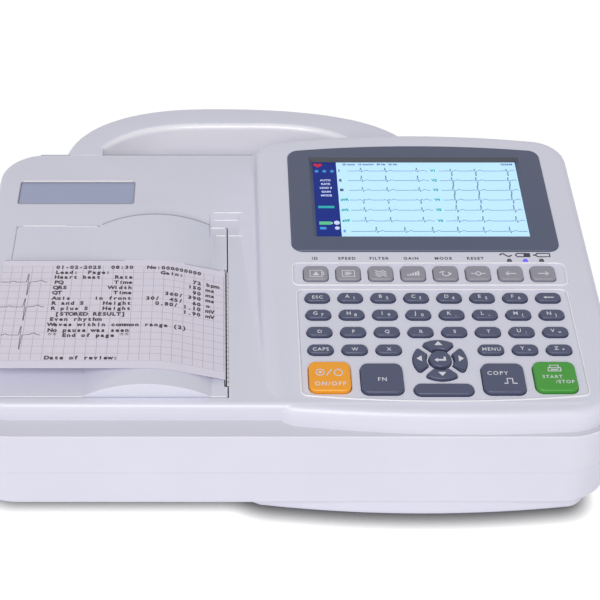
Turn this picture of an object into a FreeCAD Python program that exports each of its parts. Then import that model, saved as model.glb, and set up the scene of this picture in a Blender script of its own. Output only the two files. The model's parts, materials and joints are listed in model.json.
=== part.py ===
import FreeCAD, Part
import math
import os

# Portable ECG machine: a printer deck with a paper door on the left, a tilted console
# with display and keypad on the right, and a moulded carry handle at the back.
# Millimetres. Origin on the standing plane, in the middle of the plan; front is -Y.

# Case
BODY_WIDTH = 310.0
BODY_DEPTH = 214.0
HANDLE_REACH = 45.0
CORNER_R = 27.0
WALL = 2.5
FOOT_HEIGHT = 3.0
SKIRT_BOTTOM = 12.0
PARTING_Z = 33.0
SKIRT_TOP = 56.0
DECK_Z = 69.0
FRONT_STEP = 7.5
SIDE_STEP = 4.0
COVE_RISE = 3.7
LEDGE_RIM = 0.6
EDGE_R = 2.5
SKIRT_EDGE_R = 2.5
TRAY_STEP = 12.0
TRAY_BOW = 11.4
TRAY_CORNER_R = 10.0
TRAY_EDGE_R = 3.0

# Clearances
FIT = 0.3
RUNNING = 0.05

# Console and its tilted panel
CONSOLE_SIDE = 2.0
CONSOLE_WIDTH = 165.8
CONSOLE_FRONT = 6.5
CONSOLE_BOW = 5.0
CONSOLE_REAR = 198.0
CONSOLE_ARCH = 7.5
CONSOLE_NOSE_R = 18.0
CONSOLE_FRONT_R = 26.0
CONSOLE_REAR_R = 18.0
CONSOLE_TAIL_R = 13.0
CONSOLE_EDGE_R = 4.5
CONSOLE_FOOT_R = 2.8
PANEL_SHIFT = 1.1
PANEL_FRONT = 12.0
PANEL_TILT = 5.0
POCKET_DEPTH = 0.5

# Display, in panel coordinates: u across, v up the slope, w out of the panel
BEZEL_WIDTH = 134.5
BEZEL_V0 = 98.4
BEZEL_V1 = 177.5
BEZEL_ARCH = 4.4
BEZEL_CORNER_R = 6.0
BEZEL_SEAT = 1.2
BEZEL_T = 2.0
BEZEL_EDGE = 0.5
SCREEN_WIDTH = 108.0
SCREEN_HEIGHT = 58.9
SCREEN_V0 = 111.0
LCD_FRAME = 6.0
LCD_T = 5.0
LED_R = 1.2
LED_PITCH = 8.0
LED_U = 48.8
LED_V = 92.0
LED_PROUD = 0.4
LED_LENGTH = 7.0

# Keypad, in panel coordinates
COLUMN_PITCH = 16.0
COLUMNS = 8
ROW_PITCH = 11.6
LETTER_V = 65.3
LETTER_SIZE = (12.0, 6.0)
FUNCTION_V = 82.3
FUNCTION_SIZE = (12.0, 9.8)
FUNCTION_R = 2.3
FRONT_KEYS_U = -0.6
BIG_SIZE = (19.4, 18.4)
BIG_R = 3.6
BIG_OUTER_U = 52.0
BIG_INNER_U = 28.0
BIG_OUTER_V = 12.7
BIG_INNER_V = 11.7
SPACE_SIZE = (27.4, 6.8)
SPACE_V = 5.2
NAV_V = 23.8
NAV_R = 12.6
NAV_HUB_R = 5.2
NAV_GAP = 1.4
NAV_SPLIT = 3.2
NAV_CORNER_R = 1.2
KEY_PROUD = 1.2
BIG_PROUD = 1.6
KEY_CHAMFER = 0.5
KEY_TRAVEL = 0.9
FLANGE = 0.8
FLANGE_T = 0.8
FUNCTION_POCKET = (134.4, 74.8, 90.1)
LETTER_POCKET = (131.6, 0.2, 71.2)
LETTER_POCKET_BOW = 2.2
LETTER_POCKET_DIP = 1.8
POCKET_R = 3.0
MAT_T = 1.0
BOARD_T = 1.6
MAT_MARGIN = 5.0
POST_R = 3.5
MAT_POST_R = 1.5

# Paper door and its hinge
DOOR_SIDE = 16.5
DOOR_TO_CONSOLE = 17.2
DOOR_FRONT = 13.0
DOOR_REAR = 142.5
DOOR_T = 3.0
DOOR_GAP = 0.5
DOOR_REAR_GAP = 1.1
SLOT_WIDTH = 2.0
HINGE_R = 2.2
PIN_R = 1.2
PIN_LENGTH = 13.0
LUG_T = 4.5
LUG_WALL = 0.5
BULGE_IN = 35.6
BULGE_CHORD = 59.5
BULGE_HEIGHT = 8.0
BULGE_SKIN = 2.5
RIB_T = 1.5
RIB_DEPTH = 4.0
SCOOP_WIDTH = 15.0
SCOOP_LENGTH = 20.5
SCOOP_DEPTH = 1.2
SCOOP_REACH = 8.0

# Printer
PAPER_WIDTH = 80.0
PAPER_T = 0.2
PAPER_Y = 63.5
PAPER_OVER = 1.0
PAPER_LIFT = 0.3
PAPER_TURN = 1.0
ROLL_R = 25.0
ROLL_Z = 46.0
CORE_R = 8.0
SPINDLE_R = 4.0
FLANGE_R = 13.0
ROLL_END = 2.0
SPINDLE_LIP = 1.0
CRADLE_R = 6.5
PLATEN_R = 5.8
PLATEN_IN = 5.9
PLATEN_Z = 58.5
PLATEN_LENGTH = 84.0
SHAFT_R = 2.0
EAR_T = 2.5
GEAR_MODULE = 0.6
GEAR_WIDTH = 4.0
GEAR_SIDE = 1.0
TOOTH_HEAD = 0.9
TOOTH_FOOT = 1.2
TOOTH_TIP = 0.34
TOOTH_ROOT = 1.0
PLATEN_TEETH = 20
IDLER_TEETH = 30
PINION_TEETH = 12
MOTOR_R = 12.5
MOTOR_LENGTH = 18.0
CHASSIS_IN = 10.5
CHASSIS_OUT = 10.0
CHASSIS_FRONT = 11.0
CHASSIS_FLOOR = 16.0
CHASSIS_T = 2.0
HEAD_T = 4.0
HEAD_HEIGHT = 14.0
HEAD_GAP = 0.6
SPRING_T = 0.5
TEAR_T = 0.8
TEAR_HEIGHT = 7.0
TEAR_PITCH = 3.0
TEAR_TOOTH = 0.8

# Name plate recess
PLATE_SIZE = (61.5, 20.0)
PLATE_SIDE = 46.4
PLATE_Y = 172.7
PLATE_T = 0.8
PLATE_SINK = 0.5
PLATE_R = 1.0

# Handle
HANDLE_BOTTOM = 42.0
HANDLE_EDGE_R = 5.0
HANDLE_STRIP = 1.5
HANDLE_GAP = 23.0
HANDLE_LEFT_SIDE = 37.0
HANDLE_RIGHT_SIDE = 73.0
GRIP_LEFT_LEG = 21.0
GRIP_RIGHT_LEG = 35.0
HANDLE_SHARES = (0.095, 0.215, 0.435, 0.69, 0.87)
HANDLE_DROPS = (17.0, 4.8, 0.0, 4.6, 17.5)
GRIP_SHARES = (0.12, 0.5, 0.88)
GRIP_DROPS = (8.0, 0.0, 8.0)
GRIP_EDGE_R = 3.5

# Inside and on the walls
BATTERY_CELL_R = 9.2
BATTERY_CELL_LENGTH = 65.0
BATTERY_SIDE = 117.0
BATTERY_Y = 168.0
COVER_T = 2.5
COVER_LIP = 3.0
COVER_R = 4.0
SUPPLY_SIZE = (64.0, 48.0)
SUPPLY_SIDE = 57.0
SUPPLY_Y = 168.0
SUPPLY_BLOCKS = [(-6.0, 0.0, 22.0, 26.0, 20.0), (14.0, -10.0, 3.0, 22.0, 16.0)]
SUPPLY_CANS = [(-24.0, -12.0), (-24.0, 6.0)]
SUPPLY_CAN_R = 5.0
SUPPLY_CAN_HEIGHT = 16.0
STANDOFF = 5.0
MAIN_SIZE = (134.0, 104.0)
MAIN_SIDE = 93.0
MAIN_Y = 74.0
MAIN_Z = 24.0
MAIN_CHIPS = [
    (0.0, 0.0, 24.0, 24.0, 2.2),
    (34.0, 12.0, 14.0, 20.0, 1.6),
    (-36.0, 18.0, 18.0, 12.0, 2.0),
    (-30.0, -24.0, 30.0, 6.0, 6.0),
    (38.0, -28.0, 26.0, 6.0, 6.0),
]
SPEAKER_R = 14.0
SPEAKER_SIDE = 32.0
SPEAKER_Y = 143.0
SPEAKER_T = 6.0
INLET_SIZE = (27.0, 20.0)
INLET_SIDE = 56.0
INLET_Z = 33.0
INLET_DEPTH = 20.0
BLADE_PLACES = [(-7.0, -2.0), (0.0, 2.0), (7.0, -2.0)]
BLADE_SIZE = (2.0, 4.0)
TERMINAL_SIDE = 34.0
TERMINAL_R = 3.0
TERMINAL_REACH = 8.0
COLLAR_T = 2.0
SIDE_Z = 33.0
SIDE_RECESS = 5.0
SIDE_RECESS_FRONT = 38.0
SIDE_RECESS_REAR = 164.0
SIDE_RECESS_HALF = 11.0
SIDE_RECESS_R = 3.0
SWITCH_Y = 150.0
SWITCH_SIZE = (21.0, 15.0)
SWITCH_TILT = 8.0
SWITCH_DEPTH = 12.0
SWITCH_OUTLINE = [(-5.0, -0.5), (2.6, -1.0), (1.0, 0.0), (2.6, 1.0), (-5.0, 0.5)]
SWITCH_PIVOT_R = 1.2
SWITCH_PIVOT_END = 1.0
PORT_Y = 62.0
PORT_SIZE = (39.2, 12.6)
PORT_DEPTH = 12.0
PORT_TONGUE = [(-12.5, -4.0), (12.5, -4.0), (13.5, 4.0), (-13.5, 4.0)]
PORT_TONGUE_LENGTH = 4.0
PORT_JACK = 16.7
PORT_JACK_R = 2.4
USB_Y = 98.0
USB_SIZE = (13.2, 5.8)
USB_DEPTH = 14.0
USB_MOUTH = 10.0
USB_WALL = 0.5
USB_TONGUE_T = 1.8
LAN_Y = 118.0
LAN_SIZE = (15.6, 13.2)
LAN_DEPTH = 16.0
LAN_MOUTH = 13.0
LAN_JACK = (11.8, -4.6, 3.6)
LAN_LATCH = (6.0, -5.8, -4.6)
FOOT_R = 8.0
FOOT_RECESS = 0.8
FOOT_INSET = 36.0
FOOT_FRONT = 30.0
FOOT_REAR = 26.0
SCREW_R = 1.5
SCREW_HEAD_R = 2.8
SCREW_HEAD_T = 2.0
SCREW_BOSS_R = 4.2
SCREW_BITE = 10.0
SCREW_INSET = 20.0
SCREW_SLOT = 0.8

# Derived places
FRONT = -(BODY_DEPTH + HANDLE_REACH) / 2
REAR = FRONT + BODY_DEPTH
HALF = BODY_WIDTH / 2
SIDE_FACE = HALF - SIDE_RECESS
CONSOLE_RIGHT = HALF - CONSOLE_SIDE
CONSOLE_LEFT = CONSOLE_RIGHT - CONSOLE_WIDTH
PANEL_X = (CONSOLE_LEFT + CONSOLE_RIGHT) / 2 + PANEL_SHIFT
DOOR_LEFT = -HALF + DOOR_SIDE
DOOR_RIGHT = CONSOLE_LEFT - DOOR_TO_CONSOLE
BULGE_X = DOOR_RIGHT - BULGE_IN
PLATEN_X = DOOR_RIGHT - PLATEN_IN
PAPER_END = DOOR_LEFT - PAPER_OVER
CHASSIS_LEFT = DOOR_LEFT + CHASSIS_IN
CHASSIS_RIGHT = DOOR_RIGHT + CHASSIS_OUT
PLATE_X = -HALF + PLATE_SIDE
HANDLE_LEFT = -HALF + HANDLE_LEFT_SIDE
HANDLE_RIGHT = HALF - HANDLE_RIGHT_SIDE
GRIP_LEFT = HANDLE_LEFT + GRIP_LEFT_LEG
GRIP_RIGHT = HANDLE_RIGHT - GRIP_RIGHT_LEG
BATTERY_X = -HALF + BATTERY_SIDE
SUPPLY_X = HALF - SUPPLY_SIDE
MAIN_X = HALF - MAIN_SIDE
SPEAKER_X = -HALF + SPEAKER_SIDE
INLET_X = HALF - INLET_SIDE
TERMINAL_X = HALF - TERMINAL_SIDE
FLOOR_Z = FOOT_HEIGHT + WALL
BIG = 1000.0
UP = FreeCAD.Vector(0, 0, 1)
ALONG_X = FreeCAD.Vector(1, 0, 0)
ALONG_Y = FreeCAD.Vector(0, 1, 0)
PANEL = FreeCAD.Placement(
    FreeCAD.Vector(PANEL_X, FRONT + PANEL_FRONT, DECK_Z),
    FreeCAD.Rotation(ALONG_X, PANEL_TILT),
)
KEY_SEAT = -(WALL + FIT)
MAT_TOP = KEY_SEAT - FLANGE_T - KEY_TRAVEL - FIT
HINGE_X = DOOR_LEFT + HINGE_R
HINGE_Z = DECK_Z - HINGE_R
PAPER_FRONT = FRONT + PAPER_Y - PAPER_WIDTH / 2
PAPER_REAR = FRONT + PAPER_Y + PAPER_WIDTH / 2
PLATEN_FRONT = FRONT + PAPER_Y - PLATEN_LENGTH / 2
PLATEN_REAR = FRONT + PAPER_Y + PLATEN_LENGTH / 2
EAR_FRONT = PLATEN_FRONT - FIT - EAR_T
EAR_REAR = PLATEN_REAR + FIT
GEAR_FRONT = EAR_REAR + EAR_T + GEAR_SIDE
GEAR_REAR = GEAR_FRONT + GEAR_WIDTH
GEAR_PLATE = GEAR_REAR + GEAR_SIDE
IDLER_Z = PLATEN_Z - GEAR_MODULE * (PLATEN_TEETH + IDLER_TEETH) / 2
PINION_Z = IDLER_Z - GEAR_MODULE * (IDLER_TEETH + PINION_TEETH) / 2
BULGE_R = (BULGE_CHORD ** 2 / 4 + BULGE_HEIGHT ** 2) / (2 * BULGE_HEIGHT)
BULGE_Z = DECK_Z + BULGE_HEIGHT - BULGE_R
SLOT_RIGHT = DOOR_RIGHT + SLOT_WIDTH
PAPER_X = PLATEN_X + PLATEN_R + FIT
HEAD_X = PAPER_X + PAPER_T + HEAD_GAP
SCREW_PLACES = [
    (side * (HALF - SCREW_INSET), y)
    for side in (-1, 1)
    for y in (FRONT + SCREW_INSET, REAR - SCREW_INSET)
]
FOOT_PLACES = [
    (side * (HALF - FOOT_INSET), y)
    for side in (-1, 1)
    for y in (FRONT + FOOT_FRONT, REAR - FOOT_REAR)
]


def vec(x, y, z=0.0):
    return FreeCAD.Vector(x, y, z)


def box(x0, x1, y0, y1, z0, z1):
    return Part.makeBox(x1 - x0, y1 - y0, z1 - z0, vec(x0, y0, z0))


def rod(start, axis, radius, length):
    return Part.makeCylinder(radius, length, start, axis)


def ring_rod(start, axis, radius, bore, length):
    return rod(start, axis, radius, length).cut(rod(start, axis, bore, length))


def line(a, b):
    return Part.makeLine(a, b)


def arc(a, b, c):
    return Part.Arc(a, b, c).toShape()


def face(edges):
    return Part.Face(Part.Wire(edges))


def rounded_face(x0, x1, y0, y1, radius):
    """Rectangle in the XY plane with round corners."""
    k = radius * (1 - math.sqrt(0.5))
    return face([
        line(vec(x0 + radius, y0), vec(x1 - radius, y0)),
        arc(vec(x1 - radius, y0), vec(x1 - k, y0 + k), vec(x1, y0 + radius)),
        line(vec(x1, y0 + radius), vec(x1, y1 - radius)),
        arc(vec(x1, y1 - radius), vec(x1 - k, y1 - k), vec(x1 - radius, y1)),
        line(vec(x1 - radius, y1), vec(x0 + radius, y1)),
        arc(vec(x0 + radius, y1), vec(x0 + k, y1 - k), vec(x0, y1 - radius)),
        line(vec(x0, y1 - radius), vec(x0, y0 + radius)),
        arc(vec(x0, y0 + radius), vec(x0 + k, y0 + k), vec(x0 + radius, y0)),
    ])


def centred_face(u, v, size, radius, grow=0.0):
    half_u = size[0] / 2 + grow
    half_v = size[1] / 2 + grow
    return rounded_face(u - half_u, u + half_u, v - half_v, v + half_v, radius + grow)


def capsule_face(u, v, size, grow=0.0):
    """Straight bar with two half-round ends."""
    r = size[1] / 2 + grow
    flat = size[0] / 2 - size[1] / 2
    return face([
        line(vec(u - flat, v - r), vec(u + flat, v - r)),
        arc(vec(u + flat, v - r), vec(u + flat + r, v), vec(u + flat, v + r)),
        line(vec(u + flat, v + r), vec(u - flat, v + r)),
        arc(vec(u - flat, v + r), vec(u - flat - r, v), vec(u - flat, v - r)),
    ])


def prism(flat, z0, z1):
    solid = flat.extrude(vec(0, 0, z1 - z0))
    solid.translate(vec(0, 0, z0))
    return solid


def extrude_y(points_face, y0, y1):
    """Extrude a profile drawn in the XZ plane at y = 0."""
    solid = points_face.extrude(vec(0, y1 - y0, 0))
    solid.translate(vec(0, y0, 0))
    return solid


def profile(points):
    wire = Part.makePolygon([vec(x, 0, z) for x, z in points + points[:1]])
    return Part.Face(wire)


def level_edges(shape, z, tol=1e-4):
    found = []
    for edge in shape.Edges:
        bounds = edge.BoundBox
        if abs(bounds.ZMin - z) < tol and abs(bounds.ZMax - z) < tol:
            found.append(edge)
    return found


def upright_edges(shape, x, y, reach):
    found = []
    for edge in shape.Edges:
        bounds = edge.BoundBox
        near = abs(bounds.Center.x - x) < reach and abs(bounds.Center.y - y) < reach
        if near and bounds.XLength < 1e-4 and bounds.YLength < 1e-4:
            found.append(edge)
    return found


def on_panel(shape):
    """Move a shape drawn in panel coordinates onto the tilted panel."""
    placed = shape.copy()
    placed.Placement = PANEL.multiply(placed.Placement)
    return placed


def group(shapes):
    return Part.makeCompound(shapes)


def export(shape, node):
    shape.exportStep("parts/" + node + ".step")
    print(node, len(shape.Solids), round(shape.Volume / 1000, 2), "cm3")


# Case forms

def skirt_face(inset):
    return rounded_face(-HALF + inset, HALF - inset, FRONT + inset, REAR - inset, CORNER_R - inset)


def lip_face(inset):
    side = SIDE_STEP + inset
    return rounded_face(-HALF + side, HALF - side, FRONT + FRONT_STEP + inset, REAR - side, CORNER_R - side)


def above_panel(w):
    """Everything above the panel plane moved along its normal by w."""
    return on_panel(Part.makeBox(BIG, BIG, BIG, vec(-BIG / 2, -BIG / 2, w)))


def console_block(inset):
    """Console prism with a bowed front and an arched back, its top on the panel plane."""
    left = CONSOLE_LEFT + inset
    right = CONSOLE_RIGHT - inset
    middle = (left + right) / 2
    front = FRONT + CONSOLE_FRONT + inset
    back = FRONT + CONSOLE_REAR - inset
    outline = face([
        arc(vec(left, front), vec(middle, front - CONSOLE_BOW), vec(right, front - CONSOLE_BOW / 2)),
        line(vec(right, front - CONSOLE_BOW / 2), vec(right, back)),
        arc(vec(right, back), vec(middle, back + CONSOLE_ARCH), vec(left, back)),
        line(vec(left, back), vec(left, front)),
    ])
    block = prism(outline, SKIRT_TOP - WALL + inset, DECK_Z + BODY_DEPTH / 2)
    corners = [
        (left, front, CONSOLE_NOSE_R),
        (right, front - CONSOLE_BOW / 2, CONSOLE_FRONT_R),
        (right, back, CONSOLE_REAR_R),
        (left, back, CONSOLE_TAIL_R),
    ]
    for x, y, radius in corners:
        block = block.makeFillet(radius - inset, upright_edges(block, x, y, 1.0))
    return block.cut(above_panel(-inset))


def panel_edges(block):
    """Edges of the block that lie in the panel plane."""
    back = PANEL.inverse()
    found = []
    for edge in block.Edges:
        middle = edge.valueAt((edge.FirstParameter + edge.LastParameter) / 2)
        ends = [v.Point for v in edge.Vertexes] + [middle]
        if all(abs(back.multVec(p).z) < 1e-3 for p in ends):
            found.append(edge)
    return found


def cove_slope():
    """Slope from the rim of the skirt up to the foot of the lip."""
    rim = skirt_face(LEDGE_RIM).OuterWire
    rim.translate(vec(0, 0, SKIRT_TOP))
    foot = lip_face(0).OuterWire
    foot.translate(vec(0, 0, SKIRT_TOP + COVE_RISE))
    return Part.makeLoft([rim, foot], True, True)


def upper_form():
    """Deck with rounded edge, sloping cove and skirt, and the console wedge on it."""
    lip = prism(lip_face(0), SKIRT_TOP, DECK_Z)
    lip = lip.makeFillet(EDGE_R, level_edges(lip, DECK_Z))
    deck = prism(skirt_face(0), PARTING_Z, SKIRT_TOP).fuse([cove_slope(), lip])
    console = console_block(0)
    console = console.makeFillet(CONSOLE_EDGE_R, panel_edges(console))
    form = deck.fuse(console).removeSplitter()
    foot = [e for e in level_edges(form, DECK_Z) if abs(e.BoundBox.Center.x - CONSOLE_LEFT) < FIT]
    return form.makeFillet(CONSOLE_FOOT_R, foot)


def upper_hollow():
    skirt = prism(skirt_face(WALL), PARTING_Z, SKIRT_TOP - WALL)
    lip = prism(lip_face(WALL), PARTING_Z, DECK_Z - WALL)
    return skirt.fuse([lip, console_block(WALL)])


def tray_face(inset):
    """Plan of the underside: set back all round, bowed out to the front under the console."""
    left = -HALF + TRAY_STEP + inset
    right = HALF - TRAY_STEP - inset
    front = FRONT + TRAY_STEP + inset
    back = REAR - TRAY_STEP - inset
    bow = CONSOLE_LEFT - TRAY_STEP
    ramp = CONSOLE_LEFT
    shoulder = front - TRAY_BOW / 2
    return face([
        line(vec(left, front), vec(bow, front)),
        line(vec(bow, front), vec(ramp, shoulder)),
        arc(vec(ramp, shoulder), vec((ramp + right) / 2, front - TRAY_BOW), vec(right, shoulder)),
        line(vec(right, shoulder), vec(right, back)),
        line(vec(right, back), vec(left, back)),
        line(vec(left, back), vec(left, front)),
    ])


def tray_block(inset, z0, z1):
    block = prism(tray_face(inset), z0, z1)
    left = -HALF + TRAY_STEP + inset
    right = HALF - TRAY_STEP - inset
    front = FRONT + TRAY_STEP + inset
    back = REAR - TRAY_STEP - inset
    corners = [(left, front), (right, front - TRAY_BOW / 2), (right, back), (left, back)]
    for x, y in corners:
        block = block.makeFillet(TRAY_CORNER_R - inset, upright_edges(block, x, y, 1.0))
    return block


def lower_form():
    skirt = prism(skirt_face(0), SKIRT_BOTTOM, PARTING_Z)
    skirt = skirt.makeFillet(SKIRT_EDGE_R, level_edges(skirt, SKIRT_BOTTOM))
    tray = tray_block(0, FOOT_HEIGHT, SKIRT_BOTTOM + WALL)
    tray = tray.makeFillet(TRAY_EDGE_R, level_edges(tray, FOOT_HEIGHT))
    return skirt.fuse(tray).removeSplitter()


def lower_hollow():
    skirt = prism(skirt_face(WALL), SKIRT_BOTTOM + WALL, PARTING_Z)
    return skirt.fuse(tray_block(WALL, FLOOR_Z, SKIRT_BOTTOM + WALL))


# Openings in the walls, shared by both halves of the case

def side_prism(y0, y1, z0, z1, radius, x0, x1):
    """Rounded rectangle in the YZ plane, extruded along X."""
    solid = prism(rounded_face(y0, y1, z0, z1, radius), x0, x1)
    solid.rotate(vec(0, 0, 0), vec(1, 1, 1), 120)
    return solid


def side_recess(grow, x0, x1):
    return side_prism(
        FRONT + SIDE_RECESS_FRONT - grow, FRONT + SIDE_RECESS_REAR + grow,
        SIDE_Z - SIDE_RECESS_HALF - grow, SIDE_Z + SIDE_RECESS_HALF + grow,
        SIDE_RECESS_R + grow, x0, x1,
    )


def recess_back(form):
    """Wall behind the connector recess in the right side."""
    return side_recess(WALL, SIDE_FACE - WALL, HALF - WALL / 2).common(form)


def inlet_hole(grow):
    half_x = INLET_SIZE[0] / 2 + grow
    half_z = INLET_SIZE[1] / 2 + grow
    return box(
        INLET_X - half_x, INLET_X + half_x,
        REAR - 2 * WALL, REAR + WALL,
        INLET_Z - half_z, INLET_Z + half_z,
    )


def side_box(y, size, grow, x0, x1):
    """Box through the right side, centred on y behind the front and on the row of connectors."""
    half_y = size[0] / 2 + grow
    half_z = size[1] / 2 + grow
    middle = FRONT + y
    return box(x0, x1, middle - half_y, middle + half_y, SIDE_Z - half_z, SIDE_Z + half_z)


def wall_holes():
    start = vec(TERMINAL_X, REAR - 2 * WALL, INLET_Z)
    holes = [
        side_recess(0, SIDE_FACE, HALF + WALL),
        inlet_hole(RUNNING),
        rod(start, ALONG_Y, TERMINAL_R + RUNNING, 3 * WALL),
    ]
    sockets = [(SWITCH_Y, SWITCH_SIZE), (PORT_Y, PORT_SIZE), (USB_Y, USB_SIZE), (LAN_Y, LAN_SIZE)]
    for y, size in sockets:
        holes.append(side_box(y, size, RUNNING, SIDE_FACE - 2 * WALL, HALF))
    return holes


def scoop():
    """Thumb recess across the rear end of the slot."""
    radius = (SCOOP_LENGTH ** 2 / 4 + SCOOP_DEPTH ** 2) / (2 * SCOOP_DEPTH)
    middle = FRONT + DOOR_REAR + SCOOP_LENGTH / 2 - SCOOP_REACH
    start = vec(DOOR_RIGHT - SCOOP_WIDTH / 2, middle, DECK_Z - SCOOP_DEPTH + radius)
    return rod(start, ALONG_X, radius, SCOOP_WIDTH)


# Keys

def column_u(column):
    return (column - (COLUMNS - 1) / 2) * COLUMN_PITCH


def nav_face(quarter, grow_out, grow_in):
    """One arrow of the ring, a quarter sector with parallel gaps and rounded outer corners."""
    outer = NAV_R + grow_out
    inner = NAV_HUB_R + NAV_GAP - grow_in
    half_gap = NAV_SPLIT / 2 - grow_in
    turn = math.radians(90 * quarter)

    def at(radius, angle):
        across = FRONT_KEYS_U + radius * math.cos(angle + turn)
        return vec(across, NAV_V + radius * math.sin(angle + turn))

    spread_out = math.pi / 4 - math.asin(half_gap / outer)
    spread_in = math.pi / 4 - math.asin(half_gap / inner)
    sector = prism(face([
        arc(at(outer, -spread_out), at(outer, 0), at(outer, spread_out)),
        line(at(outer, spread_out), at(inner, spread_in)),
        arc(at(inner, spread_in), at(inner, 0), at(inner, -spread_in)),
        line(at(inner, -spread_in), at(outer, -spread_out)),
    ]), 0, WALL)
    for side in (-spread_out, spread_out):
        corner = at(outer, side)
        edges = upright_edges(sector, corner.x, corner.y, NAV_CORNER_R / 2)
        sector = sector.makeFillet(NAV_CORNER_R + grow_in, edges)
    return min(sector.Faces, key=lambda f: f.CenterOfMass.z)


def disc_face(u, v, radius):
    return face([Part.makeCircle(radius, vec(u, v))])


def key_solid(cap_face, flange_face, proud):
    """Cap with a chamfered top, and a flange that holds it behind the panel."""
    cap = prism(cap_face, KEY_SEAT - FLANGE_T, proud)
    cap = cap.makeChamfer(KEY_CHAMFER, level_edges(cap, proud))
    flange = prism(flange_face, KEY_SEAT - FLANGE_T, KEY_SEAT)
    return cap.fuse(flange).removeSplitter()


def letter_places(row):
    columns = range(COLUMNS)
    if row == 3:
        columns = [0, 1, 2, COLUMNS - 3, COLUMNS - 2, COLUMNS - 1]
    return [(column_u(c), LETTER_V - row * ROW_PITCH) for c in columns]


def big_places():
    return {
        "key_power": (FRONT_KEYS_U - BIG_OUTER_U, BIG_OUTER_V),
        "key_shift": (FRONT_KEYS_U - BIG_INNER_U, BIG_INNER_V),
        "key_copy": (FRONT_KEYS_U + BIG_INNER_U, BIG_INNER_V),
        "key_start": (FRONT_KEYS_U + BIG_OUTER_U, BIG_OUTER_V),
    }


def key_solids():
    """Every key, or row of letter keys, under its node's name."""
    keys = {}
    for row in range(4):
        caps = []
        for u, v in letter_places(row):
            flange = capsule_face(u, v, LETTER_SIZE, FLANGE)
            caps.append(key_solid(capsule_face(u, v, LETTER_SIZE), flange, KEY_PROUD))
        keys["letter_keys_row_%d" % (row + 1)] = group(caps)
    for column in range(COLUMNS):
        cap = centred_face(column_u(column), FUNCTION_V, FUNCTION_SIZE, FUNCTION_R)
        flange = centred_face(column_u(column), FUNCTION_V, FUNCTION_SIZE, FUNCTION_R, FLANGE)
        keys["key_f%d" % (column + 1)] = key_solid(cap, flange, KEY_PROUD)
    for quarter, name in enumerate(["key_right", "key_up", "key_left", "key_down"]):
        keys[name] = key_solid(nav_face(quarter, 0, 0), nav_face(quarter, FLANGE, 0), KEY_PROUD)
    hub = disc_face(FRONT_KEYS_U, NAV_V, NAV_HUB_R)
    keys["key_ok"] = key_solid(hub, disc_face(FRONT_KEYS_U, NAV_V, NAV_HUB_R + FLANGE), BIG_PROUD)
    space = capsule_face(FRONT_KEYS_U, SPACE_V, SPACE_SIZE)
    space_flange = capsule_face(FRONT_KEYS_U, SPACE_V, SPACE_SIZE, FLANGE)
    keys["key_space"] = key_solid(space, space_flange, KEY_PROUD)
    for name, (u, v) in big_places().items():
        cap = centred_face(u, v, BIG_SIZE, BIG_R)
        keys[name] = key_solid(cap, centred_face(u, v, BIG_SIZE, BIG_R, FLANGE), BIG_PROUD)
    return keys


def key_holes():
    low = -3 * WALL
    faces = [disc_face(FRONT_KEYS_U, NAV_V, NAV_HUB_R + FIT)]
    faces += [nav_face(quarter, FIT, FIT) for quarter in range(4)]
    faces.append(capsule_face(FRONT_KEYS_U, SPACE_V, SPACE_SIZE, FIT))
    for row in range(4):
        faces += [capsule_face(u, v, LETTER_SIZE, FIT) for u, v in letter_places(row)]
    for column in range(COLUMNS):
        faces.append(centred_face(column_u(column), FUNCTION_V, FUNCTION_SIZE, FUNCTION_R, FIT))
    faces += [centred_face(u, v, BIG_SIZE, BIG_R, FIT) for u, v in big_places().values()]
    return [on_panel(prism(f, low, WALL)) for f in faces]


def panel_pockets():
    width, v0, v1 = FUNCTION_POCKET
    function = rounded_face(-width / 2, width / 2, v0, v1, POCKET_R)
    width, v0, v1 = LETTER_POCKET
    half = width / 2
    letter = face([
        line(vec(half, v0 + LETTER_POCKET_BOW), vec(half, v1)),
        line(vec(half, v1), vec(-half, v1)),
        line(vec(-half, v1), vec(-half, v0 + LETTER_POCKET_BOW)),
        arc(
            vec(-half, v0 + LETTER_POCKET_BOW),
            vec(0, v0 - LETTER_POCKET_DIP),
            vec(half, v0 + LETTER_POCKET_BOW),
        ),
    ])
    letter = prism(letter, -POCKET_DEPTH, WALL)
    for u in (-half, half):
        for v in (v0 + LETTER_POCKET_BOW, v1):
            letter = letter.makeFillet(POCKET_R, upright_edges(letter, u, v, POCKET_DEPTH))
    return [on_panel(prism(function, -POCKET_DEPTH, WALL)), on_panel(letter)]


# Display

def bezel_face(grow):
    half = BEZEL_WIDTH / 2 + grow
    low = BEZEL_V0 - grow
    high = BEZEL_V1 + grow
    return face([
        line(vec(-half, low), vec(half, low)),
        line(vec(half, low), vec(half, high)),
        arc(vec(half, high), vec(0, high + BEZEL_ARCH), vec(-half, high)),
        line(vec(-half, high), vec(-half, low)),
    ])


def bezel_block(grow, w0, w1):
    block = prism(bezel_face(grow), w0, w1)
    half = BEZEL_WIDTH / 2 + grow
    for u in (-half, half):
        for v in (BEZEL_V0 - grow, BEZEL_V1 + grow):
            block = block.makeFillet(BEZEL_CORNER_R + grow, upright_edges(block, u, v, BEZEL_EDGE))
    return block


def screen_block(grow, w0, w1):
    half = SCREEN_WIDTH / 2 + grow
    return box(-half, half, SCREEN_V0 - grow, SCREEN_V0 + SCREEN_HEIGHT + grow, w0, w1)


def screen_wire(grow, w):
    half = SCREEN_WIDTH / 2 + grow
    low = SCREEN_V0 - grow
    high = SCREEN_V0 + SCREEN_HEIGHT + grow
    corners = [(-half, low), (half, low), (half, high), (-half, high), (-half, low)]
    return Part.makePolygon([vec(u, v, w) for u, v in corners])


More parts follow.
